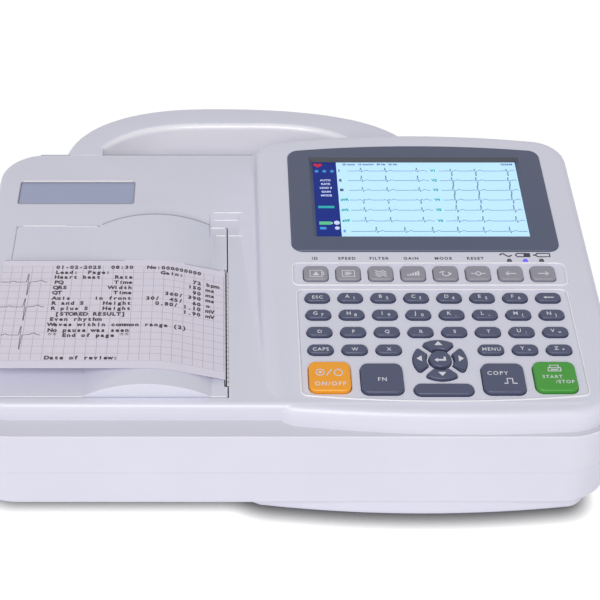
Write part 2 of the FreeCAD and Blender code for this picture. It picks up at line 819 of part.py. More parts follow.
def display_bezel():
    """Frame with a chamfered rim and a window whose sides splay outwards."""
    top = BEZEL_T - BEZEL_SEAT
    ring = bezel_block(-RUNNING, -BEZEL_SEAT, top)
    ring = ring.makeChamfer(BEZEL_EDGE, level_edges(ring, top))
    window = Part.makeLoft([screen_wire(0, -BEZEL_SEAT), screen_wire(BEZEL_T, top)], True)
    return on_panel(ring.cut(window))


def lcd_panel():
    return on_panel(screen_block(LCD_FRAME, -BEZEL_SEAT - LCD_T, -BEZEL_SEAT))


def led_places():
    return [(LED_U + (i - 1) * LED_PITCH, LED_V) for i in range(3)]


def status_leds():
    pipes = []
    for u, v in led_places():
        pipe = rod(vec(u, v, LED_PROUD - LED_LENGTH), UP, LED_R, LED_LENGTH)
        pipes.append(on_panel(pipe.makeChamfer(LED_PROUD / 2, level_edges(pipe, LED_PROUD))))
    return group(pipes)


# Top half of the case

def lug_front():
    return FRONT + FRONT_STEP + WALL


def lug_rear():
    return FRONT + DOOR_REAR + DOOR_REAR_GAP + LUG_T


def hinge_lugs(form):
    reach = HINGE_R + WALL / 2
    ends = [(lug_front(), FRONT + DOOR_FRONT - DOOR_GAP), (lug_rear() - LUG_T, lug_rear())]
    return [
        box(HINGE_X - reach, HINGE_X + reach, y0, y1, HINGE_Z - reach, DECK_Z - WALL / 2).common(form)
        for y0, y1 in ends
    ]


def hinge_pin_rods(radius):
    front = rod(vec(HINGE_X, lug_front() + LUG_WALL, HINGE_Z), ALONG_Y, radius, PIN_LENGTH)
    rear = rod(vec(HINGE_X, lug_rear() - PIN_LENGTH, HINGE_Z), ALONG_Y, radius, PIN_LENGTH)
    return [front, rear]


def mat_size():
    half = column_u(COLUMNS - 1) + LETTER_SIZE[0] / 2 + MAT_MARGIN
    return half, SPACE_V - SPACE_SIZE[1] / 2, FUNCTION_V + FUNCTION_SIZE[1] / 2


def mat_posts():
    """Posts under the panel that the key mat and its board are fixed to."""
    half, low, high = mat_size()
    posts = []
    for u in (-half + MAT_POST_R, half - MAT_POST_R):
        for v in (low + MAT_POST_R, LETTER_V - 1.5 * ROW_PITCH, high - MAT_POST_R):
            posts.append(on_panel(rod(vec(u, v, MAT_TOP), UP, MAT_POST_R, -MAT_TOP - WALL / 2)))
    return posts


def plate_face(grow):
    return centred_face(PLATE_X, FRONT + PLATE_Y, PLATE_SIZE, PLATE_R, grow)


def door_opening():
    """Hole for the door, with a lip that reaches over the hinge barrel."""
    front = FRONT + DOOR_FRONT - DOOR_GAP
    rear = FRONT + DOOR_REAR + DOOR_REAR_GAP
    left = HINGE_X - (HINGE_R + FIT) / math.sqrt(2)
    hole = box(left, SLOT_RIGHT, front, rear, DECK_Z - 3 * WALL, DECK_Z + WALL)
    return hole.fuse(rod(vec(HINGE_X, front, HINGE_Z), ALONG_Y, HINGE_R + FIT, rear - front))


def screw_posts(form):
    """Screw posts under the ledge, each with a rib to its side wall."""
    tall = SKIRT_TOP - WALL / 2 - PARTING_Z
    posts = []
    for x, y in SCREW_PLACES:
        posts.append(rod(vec(x, y, PARTING_Z), UP, SCREW_BOSS_R, tall))
        wall_x = math.copysign(HALF - WALL / 2, x)
        x0 = min(x, wall_x)
        x1 = max(x, wall_x)
        posts.append(box(x0, x1, y - RIB_T / 2, y + RIB_T / 2, PARTING_Z, PARTING_Z + tall))
    return [post.common(form) for post in posts]


def screw_bores(radius, z0, z1):
    return [rod(vec(x, y, z0), UP, radius, z1 - z0) for x, y in SCREW_PLACES]


def top_housing(form):
    shell = form.cut(upper_hollow())
    shell = shell.fuse(screw_posts(form) + mat_posts() + [recess_back(form)])
    shell = shell.cut([door_opening(), scoop()])
    shell = shell.fuse(hinge_lugs(form))
    cuts = hinge_pin_rods(PIN_R + RUNNING) + wall_holes() + panel_pockets() + key_holes()
    cuts += screw_bores(SCREW_R + RUNNING, PARTING_Z, PARTING_Z + SCREW_BITE + FIT)
    cuts.append(prism(plate_face(RUNNING), DECK_Z - PLATE_T - PLATE_SINK, DECK_Z + WALL))
    cuts.append(on_panel(bezel_block(0, -BEZEL_SEAT, WALL)))
    cuts.append(on_panel(screen_block(LCD_FRAME + RUNNING, -3 * WALL, WALL)))
    cuts += [on_panel(rod(vec(u, v, -3 * WALL), UP, LED_R + RUNNING, 4 * WALL)) for u, v in led_places()]
    return shell.cut(cuts).removeSplitter()


def name_plate():
    return prism(plate_face(0), DECK_Z - PLATE_T - PLATE_SINK, DECK_Z - PLATE_SINK)


def key_mat():
    half, low, high = mat_size()
    return on_panel(prism(rounded_face(-half, half, low, high, POCKET_R), MAT_TOP - MAT_T, MAT_TOP))


def keypad_board():
    half, low, high = mat_size()
    top = MAT_TOP - MAT_T
    return on_panel(prism(rounded_face(-half, half, low, high, POCKET_R), top - BOARD_T, top))


# Bottom half of the case

def battery_face(grow):
    half_x = BATTERY_CELL_LENGTH + grow
    half_y = 2 * BATTERY_CELL_R + grow
    y = FRONT + BATTERY_Y
    return rounded_face(BATTERY_X - half_x, BATTERY_X + half_x, y - half_y, y + half_y, COVER_R)


def board_corners(x, y, size, inset):
    return [
        (x + i * (size[0] / 2 - inset), FRONT + y + j * (size[1] / 2 - inset))
        for i in (-1, 1)
        for j in (-1, 1)
    ]


def chassis_corners():
    xs = (CHASSIS_LEFT + 2 * POST_R, CHASSIS_RIGHT - 2 * POST_R)
    ys = (FRONT + CHASSIS_FRONT + 4 * POST_R, GEAR_PLATE - 2 * POST_R)
    return [(x, y) for x in xs for y in ys]


def standing_posts():
    posts = [(p, CHASSIS_FLOOR) for p in chassis_corners()]
    posts += [(p, MAIN_Z) for p in board_corners(MAIN_X, MAIN_Y, MAIN_SIZE, POST_R)]
    posts += [(p, FLOOR_Z + STANDOFF) for p in board_corners(SUPPLY_X, SUPPLY_Y, SUPPLY_SIZE, POST_R)]
    foot = FLOOR_Z - WALL / 2
    return [rod(vec(x, y, foot), UP, POST_R, top - foot) for (x, y), top in posts]


def speaker_slots():
    slots = []
    for i in range(-2, 3):
        x = SPEAKER_X + i * SPEAKER_R / 3
        half = math.sqrt(SPEAKER_R ** 2 - (i * SPEAKER_R / 3) ** 2) - 2 * RIB_T
        y = FRONT + SPEAKER_Y
        slots.append(box(x - RIB_T / 2, x + RIB_T / 2, y - half, y + half, 0, FLOOR_Z + WALL))
    return slots


def bottom_housing(form):
    shell = form.cut(lower_hollow())
    foot = FLOOR_Z - WALL / 2
    columns = [rod(vec(x, y, foot), UP, SCREW_BOSS_R, PARTING_Z - foot) for x, y in SCREW_PLACES]
    shell = shell.fuse(columns + standing_posts() + [recess_back(form)])
    cuts = wall_holes() + speaker_slots()
    cuts += screw_bores(SCREW_R + RUNNING, 0, PARTING_Z)
    cuts += screw_bores(SCREW_HEAD_R + RUNNING, 0, FOOT_HEIGHT + SCREW_HEAD_T)
    cuts += [rod(vec(x, y, 0), UP, FOOT_R + RUNNING, FOOT_HEIGHT + FOOT_RECESS) for x, y in FOOT_PLACES]
    cuts.append(prism(battery_face(COVER_LIP + RUNNING), 0, FLOOR_Z))
    return shell.cut(cuts).removeSplitter()


def battery_cover():
    """Lid under the battery, flush with the underside, with a ribbed thumb grip."""
    cover = prism(battery_face(COVER_LIP), FOOT_HEIGHT, FOOT_HEIGHT + COVER_T)
    y = FRONT + BATTERY_Y
    edge = BATTERY_X - BATTERY_CELL_LENGTH
    grips = []
    for k in range(1, 5):
        x = edge + 3 * k * RIB_T
        top = FOOT_HEIGHT + RIB_T / 2
        grips.append(box(x, x + RIB_T, y - BATTERY_CELL_R, y + BATTERY_CELL_R, 0, top))
    return cover.cut(grips)


def battery_pack():
    """Four cells end to end in two rows inside a tight wrapper."""
    y = FRONT + BATTERY_Y
    bottom = FOOT_HEIGHT + COVER_T
    z = bottom + BATTERY_CELL_R
    cells = []
    for j in (-1, 1):
        for i in (-1, 0):
            start = vec(BATTERY_X + i * BATTERY_CELL_LENGTH, y + j * BATTERY_CELL_R, z)
            cells.append(rod(start, ALONG_X, BATTERY_CELL_R, BATTERY_CELL_LENGTH))
    half = BATTERY_CELL_LENGTH
    filler = box(
        BATTERY_X - half, BATTERY_X + half,
        y - BATTERY_CELL_R, y + BATTERY_CELL_R,
        bottom, bottom + 2 * BATTERY_CELL_R,
    )
    return filler.fuse(cells).removeSplitter()


def rubber_feet():
    feet = []
    for x, y in FOOT_PLACES:
        foot = rod(vec(x, y, 0), UP, FOOT_R, FOOT_HEIGHT + FOOT_RECESS)
        feet.append(foot.makeChamfer(FOOT_RECESS, level_edges(foot, 0)))
    return group(feet)


def case_screws():
    screws = []
    seat = FOOT_HEIGHT + SCREW_HEAD_T
    for x, y in SCREW_PLACES:
        head = rod(vec(x, y, FOOT_HEIGHT), UP, SCREW_HEAD_R, SCREW_HEAD_T)
        slot_top = FOOT_HEIGHT + SCREW_HEAD_T / 2
        slot = box(x - SCREW_HEAD_R, x + SCREW_HEAD_R, y - SCREW_SLOT / 2, y + SCREW_SLOT / 2, 0, slot_top)
        shank = rod(vec(x, y, seat), UP, SCREW_R, PARTING_Z + SCREW_BITE - seat)
        screws.append(head.cut(slot).fuse(shank))
    return group(screws)


# Handle

def curve(points):
    spline = Part.BSplineCurve()
    spline.interpolate([vec(x, y) for x, y in points])
    return spline.toShape()


def arch_block(left, right, root, tip, shares, drops):
    """Arched plan between two feet on the line y = root, reaching out to y = tip."""
    span = right - left
    between = [(left + share * span, tip - drop) for share, drop in zip(shares, drops)]
    points = [(left, root)] + between + [(right, root)]
    return prism(face([curve(points), line(vec(*points[-1]), vec(*points[0]))]), HANDLE_BOTTOM, DECK_Z)


def arch_edges(block, inner):
    """Curved level edges of the outer arch, or of the grip opening in it."""
    found = []
    for edge in level_edges(block, DECK_Z) + level_edges(block, HANDLE_BOTTOM):
        across = edge.BoundBox.XLength
        curved = edge.BoundBox.YLength > WALL
        if curved and inner == (across < GRIP_RIGHT - GRIP_LEFT + WALL):
            found.append(edge)
    return found


def handle_loop(forms):
    """Arched bar on two legs, with a low strip along the back wall; steeper on its left."""
    root = REAR - SIDE_STEP - WALL / 2
    strip = REAR + HANDLE_STRIP
    loop = arch_block(HANDLE_LEFT, HANDLE_RIGHT, root, REAR + HANDLE_REACH, HANDLE_SHARES, HANDLE_DROPS)
    loop = loop.makeFillet(HANDLE_EDGE_R, arch_edges(loop, False))
    grip = arch_block(GRIP_LEFT, GRIP_RIGHT, strip, strip + HANDLE_GAP, GRIP_SHARES, GRIP_DROPS)
    loop = loop.cut(grip)
    loop = loop.makeFillet(GRIP_EDGE_R, arch_edges(loop, True))
    above_strip = box(GRIP_LEFT, GRIP_RIGHT, root, strip, SKIRT_TOP, DECK_Z)
    return loop.cut([above_strip] + forms)


# Paper door

def bulge_segment(radius, z_low):
    """Circle segment of the bulge, from its apex down to the level z_low, in the XZ plane."""
    half = math.sqrt(radius ** 2 - (z_low - BULGE_Z) ** 2)
    left = vec(BULGE_X - half, 0, z_low)
    right = vec(BULGE_X + half, 0, z_low)
    return face([arc(left, vec(BULGE_X, 0, BULGE_Z + radius), right), line(right, left)])


def door_ribs(under):
    """Stiffening ribs on the hinge side, and the two ears that carry the platen shaft."""
    front = FRONT + DOOR_FRONT
    rear = FRONT + DOOR_REAR
    x0 = HINGE_X + 2 * HINGE_R
    x1 = BULGE_X - BULGE_CHORD / 2 - HINGE_R
    ribs = []
    for y in (front + DOOR_T, (front + rear) / 2, rear - DOOR_T - RIB_T):
        ribs.append(box(x0, x1, y, y + RIB_T, under - RIB_DEPTH, under + RIB_T))
    left = PLATEN_X - PLATEN_R
    right = PLATEN_X + PLATEN_R - RIB_T / 2
    tip = PLATEN_Z - SHAFT_R - 2 * RIB_T
    ear = profile([
        (left, under + RIB_T), (left, PLATEN_Z),
        (PLATEN_X - SHAFT_R - RIB_T, tip), (PLATEN_X + SHAFT_R + RIB_T, tip),
        (right, PLATEN_Z), (right, under + RIB_T),
    ])
    return ribs + [extrude_y(ear, y, y + EAR_T) for y in (EAR_FRONT, EAR_REAR)]


def paper_door():
    """Lid with a hinge barrel, a bulge over the paper roll and two bearing ears."""
    front = FRONT + DOOR_FRONT
    rear = FRONT + DOOR_REAR
    under = DECK_Z - DOOR_T
    plate = box(HINGE_X, SLOT_RIGHT - DOOR_GAP, front, rear, under, DECK_Z)
    slot_front = PAPER_FRONT - TEAR_PITCH - DOOR_GAP
    slot_rear = PAPER_REAR + TEAR_PITCH + DOOR_GAP
    plate = plate.cut(box(DOOR_RIGHT, SLOT_RIGHT, slot_front, slot_rear, under, DECK_Z))
    barrel = rod(vec(HINGE_X, front, HINGE_Z), ALONG_Y, HINGE_R, rear - front)
    bulge = extrude_y(bulge_segment(BULGE_R, DECK_Z), front, rear)
    door = plate.fuse([barrel, bulge])
    inside = bulge_segment(BULGE_R - BULGE_SKIN, under)
    door = door.cut([extrude_y(inside, front + BULGE_SKIN, rear - BULGE_SKIN), scoop()])
    door = door.fuse(door_ribs(under))
    shaft = vec(PLATEN_X, EAR_FRONT, PLATEN_Z)
    bores = [rod(shaft, ALONG_Y, SHAFT_R + RUNNING, EAR_REAR + EAR_T - EAR_FRONT)]
    for y in (front, rear - PIN_LENGTH):
        bores.append(rod(vec(HINGE_X, y, HINGE_Z), ALONG_Y, PIN_R + RUNNING, PIN_LENGTH))
    return door.cut(bores).removeSplitter()


def paper_strip():
    """Printed strip: out of the nip, through the slot, over the bulge and off to the left."""
    bulge = BULGE_R + PAPER_LIFT
    slot_x = (DOOR_RIGHT + SLOT_RIGHT - TEAR_T - PAPER_T) / 2
    turn = PAPER_TURN
    turn_x = slot_x - turn
    turn_z = DECK_Z + PAPER_LIFT
    reach = math.hypot(turn_x - BULGE_X, turn_z - BULGE_Z)
    lean = math.atan2(turn_z - BULGE_Z, turn_x - BULGE_X)
    normal = lean + math.acos((bulge - turn) / reach)
    low = DECK_Z - DOOR_T

    def bulge_at(angle, out):
        r = bulge + out
        return vec(BULGE_X + r * math.cos(angle), 0, BULGE_Z + r * math.sin(angle))

    def turn_at(angle, out):
        r = turn + out
        return vec(turn_x + r * math.cos(angle), 0, turn_z + r * math.sin(angle))

    def side(out):
        top = math.pi / 2
        end = vec(PAPER_END, 0, BULGE_Z + bulge + out)
        nip = vec(PAPER_X + out, 0, PLATEN_Z)
        neck = vec(slot_x + out, 0, low)
        return [
            line(end, bulge_at(top, out)),
            arc(bulge_at(top, out), bulge_at((top + normal) / 2, out), bulge_at(normal, out)),
            line(bulge_at(normal, out), turn_at(normal, out)),
            arc(turn_at(normal, out), turn_at(normal / 2, out), turn_at(0, out)),
            line(turn_at(0, out), neck),
            line(neck, nip),
        ], end, nip

    under, end_low, nip_low = side(0)
    over, end_high, nip_high = side(PAPER_T)
    outline = under + [line(nip_low, nip_high)] + over[::-1] + [line(end_high, end_low)]
    return extrude_y(face(Part.__sortEdges__(outline)), PAPER_FRONT, PAPER_REAR)


# Printer

def gear_solid(teeth, z, phase, bore):
    """Straight-flanked spur gear on an axis along Y; phase is the angle of one tooth."""
    pitch = GEAR_MODULE * teeth / 2
    tip = pitch + TOOTH_HEAD * GEAR_MODULE
    root = pitch - TOOTH_FOOT * GEAR_MODULE
    tip_half = TOOTH_TIP * GEAR_MODULE / tip
    root_half = TOOTH_ROOT * GEAR_MODULE / root
    points = []
    for i in range(teeth):
        middle = phase + i * 2 * math.pi / teeth
        corners = [(root, -root_half), (tip, -tip_half), (tip, tip_half), (root, root_half)]
        for radius, offset in corners:
            angle = middle + offset
            points.append((PLATEN_X + radius * math.cos(angle), z + radius * math.sin(angle)))
    blank = extrude_y(profile(points), GEAR_FRONT, GEAR_REAR)
    return blank.cut(rod(vec(PLATEN_X, GEAR_FRONT, z), ALONG_Y, bore, GEAR_WIDTH))


def platen_roller():
    """Steel shaft with a rubber sleeve, held in the door's two ears."""
    start = EAR_FRONT - RIB_T
    shaft = rod(vec(PLATEN_X, start, PLATEN_Z), ALONG_Y, SHAFT_R, GEAR_REAR - start)
    sleeve = rod(vec(PLATEN_X, PLATEN_FRONT, PLATEN_Z), ALONG_Y, PLATEN_R, PLATEN_LENGTH)
    return sleeve.fuse(shaft).removeSplitter()


def platen_gear():
    return gear_solid(PLATEN_TEETH, PLATEN_Z, -math.pi / 2, SHAFT_R)


def idler_gear():
    return gear_solid(IDLER_TEETH, IDLER_Z, math.pi / 2 + math.pi / IDLER_TEETH, SHAFT_R + RUNNING)


def motor_pinion():
    pinion = gear_solid(PINION_TEETH, PINION_Z, math.pi / 2, SHAFT_R / 2)
    length = GEAR_PLATE + 3 * CHASSIS_T - GEAR_FRONT
    shaft = rod(vec(PLATEN_X, GEAR_FRONT, PINION_Z), ALONG_Y, SHAFT_R / 2, length)
    return pinion.fuse(shaft).removeSplitter()


def feed_motor():
    """Can motor with a stepped back and a two-eared flange against the gear plate."""
    y = GEAR_PLATE + CHASSIS_T
    start = vec(PLATEN_X, y, PINION_Z)
    can = rod(start, ALONG_Y, MOTOR_R, MOTOR_LENGTH - RIB_T)
    back = rod(start, ALONG_Y, MOTOR_R - RIB_T, MOTOR_LENGTH)
    reach = MOTOR_R + 2 * SHAFT_R
    half = 2 * SHAFT_R
    ears = box(PLATEN_X - reach, PLATEN_X + reach, y, y + RIB_T, PINION_Z - half, PINION_Z + half)
    bore = rod(start, ALONG_Y, SHAFT_R / 2 + RUNNING, 3 * CHASSIS_T)
    return can.fuse([back, ears]).cut(bore).removeSplitter()


def cradle(y):
    """Upright plate with an open-topped seat for the spindle."""
    half = 2 * CRADLE_R
    gap = SPINDLE_R + RUNNING
    plate = box(BULGE_X - half, BULGE_X + half, y, y + CHASSIS_T, CHASSIS_FLOOR, ROLL_Z + CRADLE_R)
    seat = rod(vec(BULGE_X, y, ROLL_Z), ALONG_Y, gap, CHASSIS_T)
    mouth = box(BULGE_X - gap, BULGE_X + gap, y, y + CHASSIS_T, ROLL_Z, ROLL_Z + 2 * CRADLE_R)
    return plate.cut([seat, mouth])


def printer_chassis():
    """Open tub under the door, with two cradles for the spindle and a gear plate at the back."""
    y0 = FRONT + CHASSIS_FRONT
    y1 = GEAR_PLATE + CHASSIS_T
    top = PLATEN_Z + RIB_T
    tub = box(CHASSIS_LEFT, CHASSIS_RIGHT, y0, y1, CHASSIS_FLOOR, top)
    tub = tub.cut(box(
        CHASSIS_LEFT + CHASSIS_T, CHASSIS_RIGHT - CHASSIS_T,
        y0 + CHASSIS_T, GEAR_PLATE,
        CHASSIS_FLOOR + CHASSIS_T, top,
    ))
    aside = ROLL_END + FIT + SPINDLE_LIP
    cradles = [cradle(PAPER_FRONT - aside - CHASSIS_T), cradle(PAPER_REAR + aside)]
    axle = rod(vec(PLATEN_X, GEAR_FRONT - FIT, IDLER_Z), ALONG_Y, SHAFT_R, GEAR_PLATE - GEAR_FRONT + FIT)
    rest = GEAR_REAR + FIT
    washer = rod(vec(PLATEN_X, rest, IDLER_Z), ALONG_Y, 2 * SHAFT_R, GEAR_PLATE - rest)
    eye = rod(vec(PLATEN_X, GEAR_PLATE, PINION_Z), ALONG_Y, SHAFT_R, CHASSIS_T)
    return tub.fuse(cradles + [axle, washer]).cut(eye).removeSplitter()


def thermal_print_head():
    """Heat sink bar with the raised print line facing the platen."""
    y0 = PLATEN_FRONT
    y1 = PLATEN_REAR
    top = PLATEN_Z + HEAD_HEIGHT / 4
    bar = box(HEAD_X + PAPER_T, HEAD_X + HEAD_T, y0, y1, top - HEAD_HEIGHT, top)
    line_strip = box(HEAD_X, HEAD_X + PAPER_T, y0 + RIB_T, y1 - RIB_T, PLATEN_Z - RIB_T, PLATEN_Z + RIB_T)
    back = HEAD_X + HEAD_T
    grooves = [box(back - RIB_T, back, y0, y1, z, z + RIB_T) for z in (top - 3 * RIB_T, top - 8 * RIB_T)]
    return bar.fuse(line_strip).cut(grooves)


def head_spring():
    """Bowed leaf that presses the print head towards the platen."""
    wall = CHASSIS_RIGHT - CHASSIS_T
    back = HEAD_X + HEAD_T
    middle = FRONT + PAPER_Y
    half = PAPER_WIDTH / 4
    outline = face([
        arc(vec(wall - SPRING_T, middle - half), vec(back, middle), vec(wall - SPRING_T, middle + half)),
        line(vec(wall - SPRING_T, middle + half), vec(wall, middle + half)),
        arc(vec(wall, middle + half), vec(back + SPRING_T, middle), vec(wall, middle - half)),
        line(vec(wall, middle - half), vec(wall - SPRING_T, middle - half)),
    ])
    top = PLATEN_Z + HEAD_HEIGHT / 4
    return prism(outline, top - HEAD_HEIGHT / 2 - RIB_DEPTH / 2, top - HEAD_HEIGHT / 2 + RIB_DEPTH / 2)


def tear_bar():
    """Steel strip at the slot with a saw-toothed top edge."""
    y0 = PAPER_FRONT - TEAR_PITCH
    count = int((PAPER_WIDTH + 2 * TEAR_PITCH) / TEAR_PITCH)
    low = DECK_Z - TEAR_HEIGHT
    points = [vec(SLOT_RIGHT, y0, low)]
    for i in range(count):
        points.append(vec(SLOT_RIGHT, y0 + i * TEAR_PITCH, DECK_Z))
        points.append(vec(SLOT_RIGHT, y0 + (i + 0.5) * TEAR_PITCH, DECK_Z + TEAR_TOOTH))
    points.append(vec(SLOT_RIGHT, y0 + count * TEAR_PITCH, DECK_Z))
    points.append(vec(SLOT_RIGHT, y0 + count * TEAR_PITCH, low))
    return Part.Face(Part.makePolygon(points + points[:1])).extrude(vec(-TEAR_T, 0, 0))


def paper_roll():
    return ring_rod(vec(BULGE_X, PAPER_FRONT, ROLL_Z), ALONG_Y, ROLL_R, CORE_R, PAPER_WIDTH)


def roll_spindle():
    """Spindle through the roll's core, with a flange at each end of the paper."""
    y0 = PAPER_FRONT - ROLL_END - SPINDLE_LIP - FIT - 2 * CHASSIS_T
    y1 = PAPER_REAR + ROLL_END + SPINDLE_LIP + FIT + 2 * CHASSIS_T
    shaft = rod(vec(BULGE_X, y0, ROLL_Z), ALONG_Y, SPINDLE_R, y1 - y0)
    core = rod(vec(BULGE_X, PAPER_FRONT, ROLL_Z), ALONG_Y, CORE_R, PAPER_WIDTH)
    ends = []
    for y in (PAPER_FRONT - ROLL_END, PAPER_REAR):
        ends.append(rod(vec(BULGE_X, y, ROLL_Z), ALONG_Y, FLANGE_R, ROLL_END))
    return core.fuse([shaft] + ends).removeSplitter()


# Boards and fittings

def board_plate(x, y, size, z):
    half_x = size[0] / 2
    half_y = size[1] / 2
    return box(x - half_x, x + half_x, FRONT + y - half_y, FRONT + y + half_y, z, z + BOARD_T)


def chips(x, y, places, z):
    """Blocks on a board: offset from its middle, width, depth and height."""
    blocks = []
    for dx, dy, width, depth, height in places:
        start = vec(x + dx - width / 2, FRONT + y + dy - depth / 2, z)
        blocks.append(Part.makeBox(width, depth, height, start))
    return blocks


def main_board():
    board = board_plate(MAIN_X, MAIN_Y, MAIN_SIZE, MAIN_Z)
    return board.fuse(chips(MAIN_X, MAIN_Y, MAIN_CHIPS, MAIN_Z + BOARD_T)).removeSplitter()


def power_supply():
    low = FLOOR_Z + STANDOFF
    z = low + BOARD_T
    board = board_plate(SUPPLY_X, SUPPLY_Y, SUPPLY_SIZE, low)
    pieces = chips(SUPPLY_X, SUPPLY_Y, SUPPLY_BLOCKS, z)
    for dx, dy in SUPPLY_CANS:
        start = vec(SUPPLY_X + dx, FRONT + SUPPLY_Y + dy, z)
        pieces.append(rod(start, UP, SUPPLY_CAN_R, SUPPLY_CAN_HEIGHT))
    return board.fuse(pieces).removeSplitter()


def speaker():
    start = vec(SPEAKER_X, FRONT + SPEAKER_Y, FLOOR_Z)
    basket = rod(start, UP, SPEAKER_R, SPEAKER_T / 3)
    cone = Part.makeCone(SPEAKER_R - RIB_T, SPEAKER_R / 2, SPEAKER_T / 3, start + vec(0, 0, SPEAKER_T / 3))
    magnet = rod(start + vec(0, 0, 2 * SPEAKER_T / 3), UP, SPEAKER_R / 2, SPEAKER_T / 3)
    return basket.fuse([cone, magnet]).removeSplitter()


def mains_inlet():
    """Flanged inlet with a shaped well and three flat contacts."""
    half_x = INLET_SIZE[0] / 2
    half_z = INLET_SIZE[1] / 2
    back = REAR - INLET_DEPTH
    body = box(INLET_X - half_x, INLET_X + half_x, back, REAR, INLET_Z - half_z, INLET_Z + half_z)
    rim = box(
        INLET_X - half_x - RIB_T, INLET_X + half_x + RIB_T,
        REAR, REAR + RIB_T,
        INLET_Z - half_z - RIB_T, INLET_Z + half_z + RIB_T,
    )
    a = half_x - RIB_T
    b = half_z - RIB_T
    c = b / 2
    corners = [(-a, -b), (a, -b), (a, c), (a - c, b), (c - a, b), (-a, c)]
    well = profile([(INLET_X + x, INLET_Z + z) for x, z in corners])
    shell = body.fuse(rim).cut(extrude_y(well, back + 2 * RIB_T, REAR + RIB_T))
    blades = []
    for dx, dz in BLADE_PLACES:
        start = vec(INLET_X + dx - BLADE_SIZE[0] / 2, back + RIB_T, INLET_Z + dz - BLADE_SIZE[1] / 2)
        blades.append(Part.makeBox(BLADE_SIZE[0], INLET_DEPTH - 2 * RIB_T, BLADE_SIZE[1], start))
    return shell.fuse(blades).removeSplitter()


def equipotential_terminal():
    """Earth stud through the back wall, with a round collar."""
    start = vec(TERMINAL_X, REAR - 2 * WALL, INLET_Z)
    stud = rod(start, ALONG_Y, TERMINAL_R, 2 * WALL + TERMINAL_REACH)
    collar = rod(vec(TERMINAL_X, REAR, INLET_Z), ALONG_Y, 2 * TERMINAL_R, COLLAR_T)
    return stud.fuse(collar).removeSplitter()


def side_shell(y, size, depth, rim, lip):
    """Rectangular connector body through the recess floor, with a rim outside."""
    body = side_box(y, size, 0, SIDE_FACE - depth, SIDE_FACE)
    return body.fuse(side_box(y, size, lip, SIDE_FACE, SIDE_FACE + rim)).removeSplitter()


def patient_port():
    """Socket for the patient cable: a D-shaped shell between two jack posts."""
    shell = side_shell(PORT_Y, PORT_SIZE, PORT_DEPTH, RIB_T / 2, RIB_T)
    y = FRONT + PORT_Y
    corners = [vec(SIDE_FACE, y + dy, SIDE_Z + dz) for dy, dz in PORT_TONGUE + PORT_TONGUE[:1]]
    tongue = Part.Face(Part.makePolygon(corners)).extrude(vec(PORT_TONGUE_LENGTH, 0, 0))
    posts = []
    for dy in (-PORT_JACK, PORT_JACK):
        posts.append(rod(vec(SIDE_FACE, y + dy, SIDE_Z), ALONG_X, PORT_JACK_R, PORT_TONGUE_LENGTH))
    return shell.fuse([tongue] + posts).removeSplitter()


def side_ports():
    """Flat data socket with its tongue, and a network socket with its latch notch."""
    out = SIDE_FACE + RIB_T
    flat = side_shell(USB_Y, USB_SIZE, USB_DEPTH, RIB_T / 3, RIB_T / 2)
    flat = flat.cut(side_box(USB_Y, USB_SIZE, -USB_WALL, SIDE_FACE - USB_MOUTH, out))
    half = USB_SIZE[0] / 2 - 2 * USB_WALL
    middle = FRONT + USB_Y
    tongue = box(
        SIDE_FACE - USB_MOUTH, SIDE_FACE - USB_WALL,
        middle - half, middle + half,
        SIDE_Z, SIDE_Z + USB_TONGUE_T,
    )
    net = side_shell(LAN_Y, LAN_SIZE, LAN_DEPTH, RIB_T / 3, RIB_T / 2)
    middle = FRONT + LAN_Y
    for width, z0, z1 in (LAN_JACK, LAN_LATCH):
        y0 = middle - width / 2
        net = net.cut(box(SIDE_FACE - LAN_MOUTH, out, y0, y0 + width, SIDE_Z + z0, SIDE_Z + z1))
    return group([flat.fuse(tongue), net])


def switch_pivot(radius, end):
    """Pivot across the switch opening, from end beyond its lower side to end beyond its upper."""
    half = SWITCH_SIZE[1] / 2 - RIB_T + end
    return rod(vec(SIDE_FACE, FRONT + SWITCH_Y, SIDE_Z - half), UP, radius, 2 * half)


def switch_frame():
    frame = side_shell(SWITCH_Y, SWITCH_SIZE, SWITCH_DEPTH, RIB_T, RIB_T)
    well = side_box(SWITCH_Y, SWITCH_SIZE, -RIB_T, SIDE_FACE - SWITCH_DEPTH + RIB_T, HALF)
    return frame.cut([well, switch_pivot(SWITCH_PIVOT_R + RUNNING, SWITCH_PIVOT_END + FIT)])


def mains_switch():
    """Rocker with two faces that meet in a shallow valley, tipped to its off side."""
    y = FRONT + SWITCH_Y
    half_y = SWITCH_SIZE[0] / 2 - RIB_T - 4 * FIT
    half_z = SWITCH_SIZE[1] / 2 - RIB_T - FIT
    outline = SWITCH_OUTLINE + SWITCH_OUTLINE[:1]
    corners = [vec(SIDE_FACE + dx, y + share * half_y, SIDE_Z - half_z) for dx, share in outline]
    rocker = Part.Face(Part.makePolygon(corners)).extrude(vec(0, 0, 2 * half_z))
    rocker = rocker.fuse(switch_pivot(SWITCH_PIVOT_R, SWITCH_PIVOT_END)).removeSplitter()
    rocker.rotate(vec(SIDE_FACE, y, SIDE_Z), UP, -SWITCH_TILT)
    return rocker


